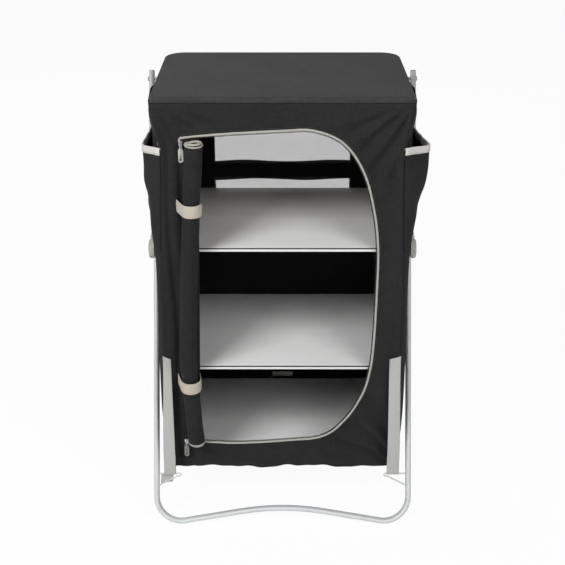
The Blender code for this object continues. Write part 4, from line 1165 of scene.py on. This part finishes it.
def makeTie(label, low, sag, slack, lap):
    x, y = rollCentre(low + tieWidth / 2)
    x, y = x + slack * 0.9, y - slack * 0.3
    face, inner = cupboard["clothFace"], door["rollRadius"] + 0.0006 + slack

    def onRoll(angle):
        return Vector((x + inner * math.cos(angle), y + inner * math.sin(angle)))

    start = Vector((x - inner - lap, face))
    away = start - Vector((x, y))
    leave = math.atan2(away.y, away.x) + math.acos(inner / away.length)
    path = [start, start.lerp(onRoll(leave), 0.5)]
    path += [onRoll(angle) for angle in steps(leave, math.tau + 0.15, 30)]
    path.append(Vector((x + inner - 0.0035, face - 0.0002)))
    points = evenly([(p.x, p.y, 0) for p in path], 60)
    rows = []
    for v in steps(0.0, 1.0, 12):
        row = []
        for t, p in zip(steps(0.0, 1.0, 59), points):
            curl = Vector((p.x - x, p.y - y)).normalized() * 0.0004 * hump(v)
            row.append((p.x + curl.x, p.y + curl.y, low + tieWidth * v - sag * hump(t)))
        rows.append(row)
    hangs(gridSheet("rollTie" + label.title(), rows, "tieTape", 0.0012), "tie", "roll_tie_" + label,
          flat=(0.094, tieWidth), held="laid", rests_on=["doorRoll"])


# zip sliders, each with a tab on a wire ring

slider = {
    "pin": (0.0025, -0.0084),
    "body": [(-0.0046, 0.0060), (0.0046, 0.0060), (0.0040, -0.0010), (0.0030, -0.0060),
             (-0.0030, -0.0060), (-0.0040, -0.0010)],
    # distance out of the cloth, and size or height
    "layers": [(0.0, 0.96), (0.0012, 1.0), (0.0026, 1.0), (0.0034, 0.93)],
    "bridge": [(0.0032, 0.0048), (0.0056, 0.0040), (0.0062, 0.0010), (0.0060, -0.0040),
               (0.0052, -0.0078), (0.0033, -0.0084)],
}
pull = {
    "half": 0.0054, "length": 0.0320, "gap": 0.0010, "holeUp": 0.0062, "holeRadius": 0.0021,
    "layers": [(0.0009, 0.9), (0.0012, 1.0), (-0.0010, 1.0), (-0.0013, 0.9)],
    "ring": (0.0026, 0.0040), "ringDown": 0.0024,
}


def makeSlider(label, x, z, finish):
    s, p = slider, pull
    face = cupboard["clothFace"]
    pinY, pinZ = face - s["pin"][0], z + s["pin"][1]
    loops = [[(x + a * size, face - out, z + b * size) for a, b in s["body"]] for out, size in s["layers"]]
    body = rounded(meshObject("slider", *rings(loops), "steel"), 0.0004)
    bridgeLine = [(x, face - out, z + up) for out, up in s["bridge"]]
    bridge = cordAlong("bridge", [evenly(bridgeLine, 24)], 0.0010, "steel", 10)
    earLine = [(x - 0.0030, pinY, pinZ), (x + 0.0030, pinY, pinZ)]
    ears = cordAlong("ears", [evenly(earLine, 4)], 0.0011, "steel", 10)
    rides(join([body, bridge, ears], "zipSlider" + label.title()), label + "_zip_slider",
          "zip_slider_" + label)
    outline = []
    for centre, first in ((-p["gap"] - p["half"], 0.0), (p["half"] - p["length"], math.pi)):
        outline += [(p["half"] * math.cos(turn), centre + p["half"] * math.sin(turn))
                    for turn in steps(first, first + math.pi, 12)]
    loops = [[(x + a * size, pinY + y, pinZ + b) for a, b in outline] for y, size in p["layers"]]
    tab = meshObject("tab", *rings(loops), finish)
    hole, holeZ = p["holeRadius"], pinZ - p["length"] + p["holeUp"]
    loops = [circle(20, lambda c, s: (x + hole * c, pinY + y, holeZ + hole * s)) for y in (-0.004, 0.004)]
    tab = cut(tab, meshObject("holeTool", *rings(loops), finish))
    wide, high = p["ring"]
    ring = circle(28, lambda c, s: (x + wide * c, pinY, pinZ - p["ringDown"] + high * s))
    wire = cordAlong("wire", [ring + ring[:1]], 0.0006, "steel", 8)
    rides(join([tab, wire], "zipPull" + label.title()), label + "_zip_pull", "zip_pull_" + label)


# shelves: coated boards with a bright front lip, and over it a black strip of painted shade for the groove
# between board and lip

shelfSize = {"half": 0.242, "front": -0.182, "rear": 0.193, "thick": 0.0075, "lipDown": 0.0026}


def roundedBox(name, low, high, finish, radius, segments=3):
    verts = [(x, y, z) for x in (low[0], high[0]) for y in (low[1], high[1]) for z in (low[2], high[2])]
    faces = [(0, 1, 3, 2), (4, 6, 7, 5), (0, 4, 5, 1), (2, 3, 7, 6), (0, 2, 6, 4), (1, 5, 7, 3)]
    return rounded(meshObject(name, verts, faces, finish), radius, segments)


def makeShelves():
    s = shelfSize
    half, front = s["half"], s["front"]
    for label, top in shelves.items():
        high, low = top - s["lipDown"], top - s["thick"]
        board = roundedBox("shelfBoard" + label.title(), (-half, front + 0.0042, low), (half, s["rear"], top),
                           "shelfTop", 0.0012)
        rides(board, label + "_shelf", "shelf_" + label)
        # the lip is a folded profile: a face with a short return under the board
        profile = [(0.0014, high), (0.0004, high - 0.0003), (0.0, high - 0.0010), (0.0, low + 0.0006),
                   (0.0004, low - 0.0001), (0.0012, low - 0.0004), (0.0060, low - 0.0004),
                   (0.0060, low - 0.0001), (0.0018, low - 0.0001), (0.0018, high)]
        loops = [[(x, front + y, z) for y, z in profile] for x in steps(-half, half, 24)]
        face = meshObject("lipFace", *rings(loops), "shelfLip")
        # painted shade: a thin black strip standing in for the shadow in the groove between the board and the
        # lip
        line = roundedBox("lipGrooveShade", (0.001 - half, front + 0.0012, high + 0.0001),
                          (half - 0.001, front + 0.0040, top - 0.0003), "blackPlastic", 0.0003, 1)
        rides(join([face, line], "shelfLip" + label.title()), label + "_shelf",
              "shelf_edge_" + label)


# legs: oval tube with end plugs

legBends = {"kneeTop": -0.22, "kneeLow": -0.09, "knee": 0.15, "foot": 0.057, "arch": 0.6, "archRise": 0.048}
plugLoops = [(0.005, 0.80), (-0.0001, 0.80), (-0.0002, 1.0), (-0.0012, 1.0), (-0.0019, 0.92),
             (-0.0023, 0.70)]


def legPath(half, top, spread, foot):
    b = legBends
    oneSide = [(half + spread, -top)]
    if spread:
        oneSide += [(half + spread, b["kneeTop"]), (half, b["kneeLow"])]
    oneSide.append((half, foot))
    radii = [b["knee"]] * (len(oneSide) - 2) + [b["foot"]]
    corners = oneSide + [(0, foot - b["archRise"])] + [(-x, y) for x, y in reversed(oneSide)]
    return roundedPath(corners, radii + [b["arch"]] + radii[::-1], 18)


def sweptLeg(name, half, top, spread, direction):
    place = legPlane(direction)
    w, d = legs["width"] / 2, legs["depth"] / 2
    foot = cupboard["pivotZ"] / math.cos(lean)
    # the second round sets its lowest point on the floor
    for attempt in range(2):
        path = legPath(half, top, spread, foot)
        loops = []
        for i, point in enumerate(path):
            way = (path[min(i + 1, len(path) - 1)] - path[max(i - 1, 0)]).normalized()
            across = Vector((way.y, -way.x)) * w
            loops.append(circle(legs["sides"], lambda c, s: place(*(point + across * c), d * s)))
        foot += min(v.z for loop in loops for v in loop) / math.cos(lean)
    return thicken(meshObject(name, *rings(loops, False), "tube"), legs["wall"], -1.0)


def makeLegs():
    length = (cupboard["hingeZ"] - cupboard["pivotZ"]) / math.cos(lean)
    w, d = legs["width"] / 2, legs["depth"] / 2
    frames = [(name, direction, legs[name + "Half"], length + legs[name + "PastHinge"], spread)
              for name, direction, spread in (("rear", 1, 0), ("front", -1, legs["frontSpread"]))]
    for name, direction, half, top, spread in frames:
        rides(sweptLeg(name + "Legs", half, top, spread, direction), name + "_legs",
              name + "_leg_frame")
    for name, direction, half, top, spread in frames:
        place = legPlane(direction)
        for label, side in bothSides:
            x = side * (half + spread)
            loops = [circle(32, lambda c, s: place(x + w * size * c, down - top, d * size * s))
                     for down, size in plugLoops]
            plug = meshObject(name + "Plug" + label.title(), *rings(loops), "greyPlastic")
            rides(plug, name + "_legs", name + "_leg_plug_" + label)


# hubs: moulded discs over the crossing bolts, with a tongue up the leg

hub = {
    "disc": [(0.2972, 0.0220), (0.2978, 0.0228), (0.3030, 0.0230), (0.3066, 0.0226), (0.3090, 0.0216),
             (0.3102, 0.0200), (0.3105, 0.0186), (0.3105, 0.0165), (0.3099, 0.0158), (0.3092, 0.0155),
             (0.3092, 0.0080), (0.3096, 0.0074), (0.3106, 0.0070), (0.3110, 0.0050), (0.3110, 0.0010)],
    "tongueX": 0.3003, "tongueHalf": 0.0070, "ends": [-0.0290, -0.0370, -0.0420, -0.0445, -0.0450],
}


def boxy(value):
    return math.copysign(abs(value) ** 0.35, value)


def makeHub(label, side):
    disc = turnedX("disc", 0, cupboard["pivotZ"], side, hub["disc"], "greyPlastic", 64)
    place = legPlane(-1)
    loops = []
    for down in steps(0.0, -0.0215, 6) + hub["ends"]:
        end = ease((-down - 0.03) / 0.015)
        half, thick = mix(1.0, 0.62, end) * hub["tongueHalf"], mix(0.0070, 0.0036, end) / 2
        loops.append(circle(24, lambda c, s: place(side * (hub["tongueX"] + thick + thick * boxy(c)), down,
                                                   half * boxy(s))))
    tongue = meshObject("tongue", *rings(loops), "greyPlastic")
    rides(join([disc, tongue], "hub" + label.title()), "front_legs", "hub_" + label)


fittings = {
    "rivet": [(0.3000, 0.0028), (0.3106, 0.0028), (0.3106, 0.0060), (0.3112, 0.0060), (0.3122, 0.0054),
              (0.3130, 0.0042), (0.3134, 0.0024), (0.3135, 0.0006)],
    "eyelet": [(0.2762, 0.0052), (0.2762, 0.0105), (0.2768, 0.0108), (0.2774, 0.0100), (0.2776, 0.0080),
               (0.2772, 0.0056), (0.2762, 0.0052)],
    "ringZ": 0.108, "ringLowZ": 0.083, "ringTip": 0.2377, "ringOut": 0.2880, "bendRadius": 0.0030,
    "wire": 0.0018,
}


def downTo(z):
    # how far down the leg frames' planes a height lies
    return (cupboard["pivotZ"] - z) / math.cos(lean)


def makeSmallFittings(label, side):
    f, place = fittings, legPlane(-1)
    z, y = cupboard["hingeZ"], -cupboard["hingeY"]
    rivet = turnedX("rivet" + label.title(), y, z, side, f["rivet"], "steel")
    rides(rivet, "front_legs", "front_leg_rivet_" + label)
    hangs(turnedX("eyelet" + label.title(), y, z, side, f["eyelet"], "blackPlastic"), "black_plastic")
    high, tip, r = downTo(f["ringZ"]), f["ringTip"], f["bendRadius"]
    line = [(f["ringOut"], high), (tip + 0.012, high), (tip + 0.0052, high)]
    line += [(tip + r + r * math.cos(a), high + r - r * math.sin(a))
             for a in steps(math.pi / 2, math.pi * 1.36, 8)]
    line += [(tip + 0.0072, high + 0.0062), (f["ringOut"], downTo(f["ringLowZ"]))]
    ring = cordAlong("strapRing" + label.title(), [evenly([place(side * x, down) for x, down in line], 60)],
                     f["wire"], "paleWire")
    rides(ring, "front_legs", "strap_ring_" + label)


# webbing: straps from the front seams to the rings, and the hangers inside

straps = {
    "low": 0.108, "top": 0.405, "thick": 0.0013, "wireGap": 0.00125,
    "left": {"inner": (0.2510, 0.2490), "outer": (0.2690, 0.2760)},
    "right": {"inner": (0.2410, 0.2435), "outer": (0.2665, 0.2715)},
    "tail": (0.1050, 0.0895),
}


def strapLine():
    # down the front, round the ring and a little way back up, in y and z
    s = straps
    ring = legPlane(-1)(0, downTo(s["low"]))
    eye, topY = s["wireGap"] + s["thick"] * 0.75, cupboard["clothFace"] - s["thick"] / 2
    first = math.atan2(s["top"] - ring.z, topY - ring.y) + 1.2
    line = [(topY, s["top"]), (topY - 0.0004, s["top"] - 0.03)]
    line += [(mix(topY, ring.y + eye * math.cos(first), t) - 0.0016 * hump(t),
              mix(s["top"] - 0.03, ring.z + eye * math.sin(first), t)) for t in steps(0.0, 1.0, 24)[1:-1]]
    line += [(ring.y + eye * math.cos(a), ring.z + eye * math.sin(a))
             for a in steps(first, first + math.tau - 1.9, 20)]
    line += [(mix(ring.y + 0.0030, topY + 0.0002, t * 0.18) - 0.0002, mix(ring.z + 0.004, ring.z + 0.045, t))
             for t in steps(0.0, 1.0, 8)[1:]]
    return evenly([(0, y, z) for y, z in line], 96)


def makeStrapTail():
    # the left strap's loose end, folded back under the ring
    rows = []
    for t in steps(0.0, 1.0, 14):
        z = mix(*straps["tail"], t)
        y = legPlane(-1)(0, downTo(z)).y + 0.0026 + 0.0022 * hump(t)
        rows.append([(-mix(0.2550 + 0.002 * t, 0.2835 + 0.001 * t, v / 12), y + 0.0008 * math.sin(v / 3),
                      z - 0.0045 * v / 12 * t) for v in range(13)])
    hangs(gridSheet("strapTail", rows, "strapTape", straps["thick"]), "webbing", flat=(0.029, 0.018),
          held="hung", rests_on=["strapRingLeft"])


def makeStrap(label, side):
    s, edge = straps, straps[label]
    path = strapLine()
    rows = []
    for k, p in enumerate(path):
        down, row = ease(k / 70), []
        for v in steps(0.0, 1.0, 12):
            x = side * mix(mix(*edge["inner"], down), mix(*edge["outer"], down), v)
            slant = 0.0080 * (v - 1.0) * ease(1 - k / 10)
            curl = 0.0005 * hump(v) + 0.0008 * math.sin(p.z / 0.045 + side) * (v - 0.5) * hump(k / 60)
            row.append((x, p.y - curl, p.z + slant))
        rows.append(row)
    hangs(gridSheet("strap" + label.title(), rows, "strapTape", s["thick"]), "webbing", "strap_" + label,
          flat=(0.027, 0.355), held="hung", rests_on=["strapRing" + label.title()])
    inner, outer = side * (edge["inner"][0] + 0.0025), side * (edge["outer"][0] - 0.0025)
    y = path[0].y - 0.0012
    a, b, c, d = (inner, y, 0.392), (outer, y, 0.399), (outer, y, 0.378), (inner, y, 0.376)
    lines = [evenly([a, b, c, d, a], 60), evenly([a, c], 20), evenly([b, d], 20)]
    hangs(stitches("strapStitches" + label.title(), lines, "paleThread", spacing=0.0030, length=0.0022,
                   seed=3), "webbing")
    if side < 0:
        makeStrapTail()


hangers = {
    "fronts": (-0.1481, 0.1231), "width": 0.025, "thick": 0.0013, "lineX": 0.24375,
    "railX": 0.2395, "railZ": 0.9729, "round": (0.0075, 0.0130), "lowZ": 0.1140, "highZ": 0.955,
    "ledgeX": (0.2290, 0.2438), "ledgeHalf": 0.1356,
}


def makeHangers(label, side):
    h = hangers
    unders = [top - shelfSize["thick"] for top in sorted(shelves.values())]
    line = [(h["lineX"], z) for z in (h["lowZ"], *unders, h["highZ"])]
    wide, high = h["round"]
    line += [(h["railX"] + wide * math.cos(a), h["railZ"] + high * math.sin(a))
             for a in steps(-1.0, math.tau - 1.9, 24)]
    points = evenly([(x, 0, z) for x, z in line], 90)
    bands = [[[(side * p.x, y, p.z) for y in steps(front, front + h["width"], 6)] for p in points]
             for front in h["fronts"]]
    ledges = [[[(side * x, y, under - 0.0011) for x in steps(*h["ledgeX"], 6)]
               for y in steps(-h["ledgeHalf"], h["ledgeHalf"], 20)] for under in unders]
    pieces = [gridSheet("band", rows, "hangerTape", h["thick"]) for rows in bands + ledges]
    hangs(join(pieces, "shelfHangers" + label.title()), "webbing", "shelf_hangers_" + label,
          flat=(0.06, 0.90), held="hung", rests_on=["top_frame"])


# finishes of the frame pieces that stay as the solids they are

def paintFrame():
    paired = {"top_frame_plug": "blackPlastic", "hinge_block": "blackPlastic", "latch": "greyPlastic",
              "pivot_bolt": "steel", "pivot_spacer": "blackPlastic"}
    looks = {"top_frame": "tube", "hinge_rod": "steel", "top_board": "board"}
    for node, finish in paired.items():
        for label, side in bothSides:
            looks[node + "_" + label] = finish
    for node, finish in looks.items():
        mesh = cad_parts[node].data
        mesh.materials.clear()
        mesh.materials.append(finishes[finish])


# studio

studio = {
    "cameraY": -2.30, "cameraZ": 1.59, "pitch": 25.4, "lens": 68.5, "sky": 0.18, "floorGlow": 0.95,
    "floorHalf": 30, "aim": (0, 0, 0.5),
    # place, size and power
    "lamps": {"key": ((-1.7, -2.2, 2.8), 1.3, 78.0), "fill": ((1.6, -2.4, 2.6), 1.5, 44.0),
              "back": ((-1.2, 2.8, 2.4), 2.0, 26.0)},
}


def makeStudio():
    s, scene = studio, bpy.context.scene
    camera = linked("camera", bpy.data.cameras.new("camera"))
    camera.data.lens = s["lens"]
    camera.data.sensor_width = 36.0
    camera.location = (0, s["cameraY"], s["cameraZ"])
    camera.rotation_euler = (math.radians(90 - s["pitch"]), 0, 0)
    scene.camera = camera
    for name, (place, size, power) in s["lamps"].items():
        lamp = linked(name, bpy.data.lights.new(name, "AREA"))
        lamp.data.energy = power
        lamp.data.size = size
        lamp.location = place
        lamp.rotation_euler = (Vector(s["aim"]) - Vector(place)).to_track_quat("-Z", "Y").to_euler()
    # a dim sky that the camera sees as white, also through the nets
    world = bpy.data.worlds.new("studio")
    scene.world = world
    world.use_nodes = True
    nodes, links = world.node_tree.nodes, world.node_tree.links
    sky, bright = nodes["Background"], nodes.new("ShaderNodeBackground")
    for node, strength in ((sky, s["sky"]), (bright, 1.0)):
        node.inputs["Color"].default_value = (1, 1, 1, 1)
        node.inputs["Strength"].default_value = strength
    path, seen = nodes.new("ShaderNodeLightPath"), nodes.new("ShaderNodeMath")
    seen.operation = "MAXIMUM"
    choose = nodes.new("ShaderNodeMixShader")
    for source, target in ((path.outputs["Is Camera Ray"], seen.inputs[0]),
                           (path.outputs["Is Transmission Ray"], seen.inputs[1]),
                           (seen.outputs[0], choose.inputs[0]), (sky.outputs[0], choose.inputs[1]),
                           (bright.outputs[0], choose.inputs[2]),
                           (choose.outputs[0], nodes["World Output"].inputs["Surface"])):
        links.new(source, target)
    # pale floor that keeps a soft shadow
    mesh = bpy.data.meshes.new("floor")
    far = s["floorHalf"]
    mesh.from_pydata([(-far, -far, 0), (far, -far, 0), (far, far, 0), (-far, far, 0)], [], [(0, 1, 2, 3)])
    floor = linked("floor", mesh)
    n = Nodes("paleFloor")
    n.surface(colour=(0.92, 0.92, 0.92), roughness=0.9, specular=0.1)
    glow = n.add("ShaderNodeEmission", None, {"Color": (1, 1, 1, 1), "Strength": 1.0})
    ray = n.add("ShaderNodeLightPath", None, None, "Is Camera Ray")
    both = n.add("ShaderNodeMixShader", None,
                 {0: ray * s["floorGlow"], 1: Wire(n, n.shader.outputs[0]), 2: glow})
    n.link(n.tree.nodes["Material Output"].inputs["Surface"], both)
    mesh.materials.append(n.material)
    scene.view_settings.view_transform = "Standard"


makeStudio()
print("studio set")
makeTopCover()
makeFrontPanel()
print("top and front panel")
for label, side in bothSides:
    makeSidePanel(label, side)
    makePocket(label, side)
makeBackPanel()
makeBottomPanel()
print("sides, pockets, back and bottom")
makeDoorEdge()
makeRoll()
makeTie("upper", low=0.754, sag=0.0010, slack=0.0006, lap=0.0125)
makeTie("lower", low=0.334, sag=0.0045, slack=0.0022, lap=0.0080)
makeSlider("upper", -0.2090, 0.9030, "palePlastic")
makeSlider("lower", -0.2240, 0.1790, "dullPlastic")
print("door")
makeShelves()
makeLegs()
for makeOne in (makeHub, makeSmallFittings, makeStrap, makeHangers):
    for label, side in bothSides:
        makeOne(label, side)
paintFrame()
print("shelves, legs and fittings")
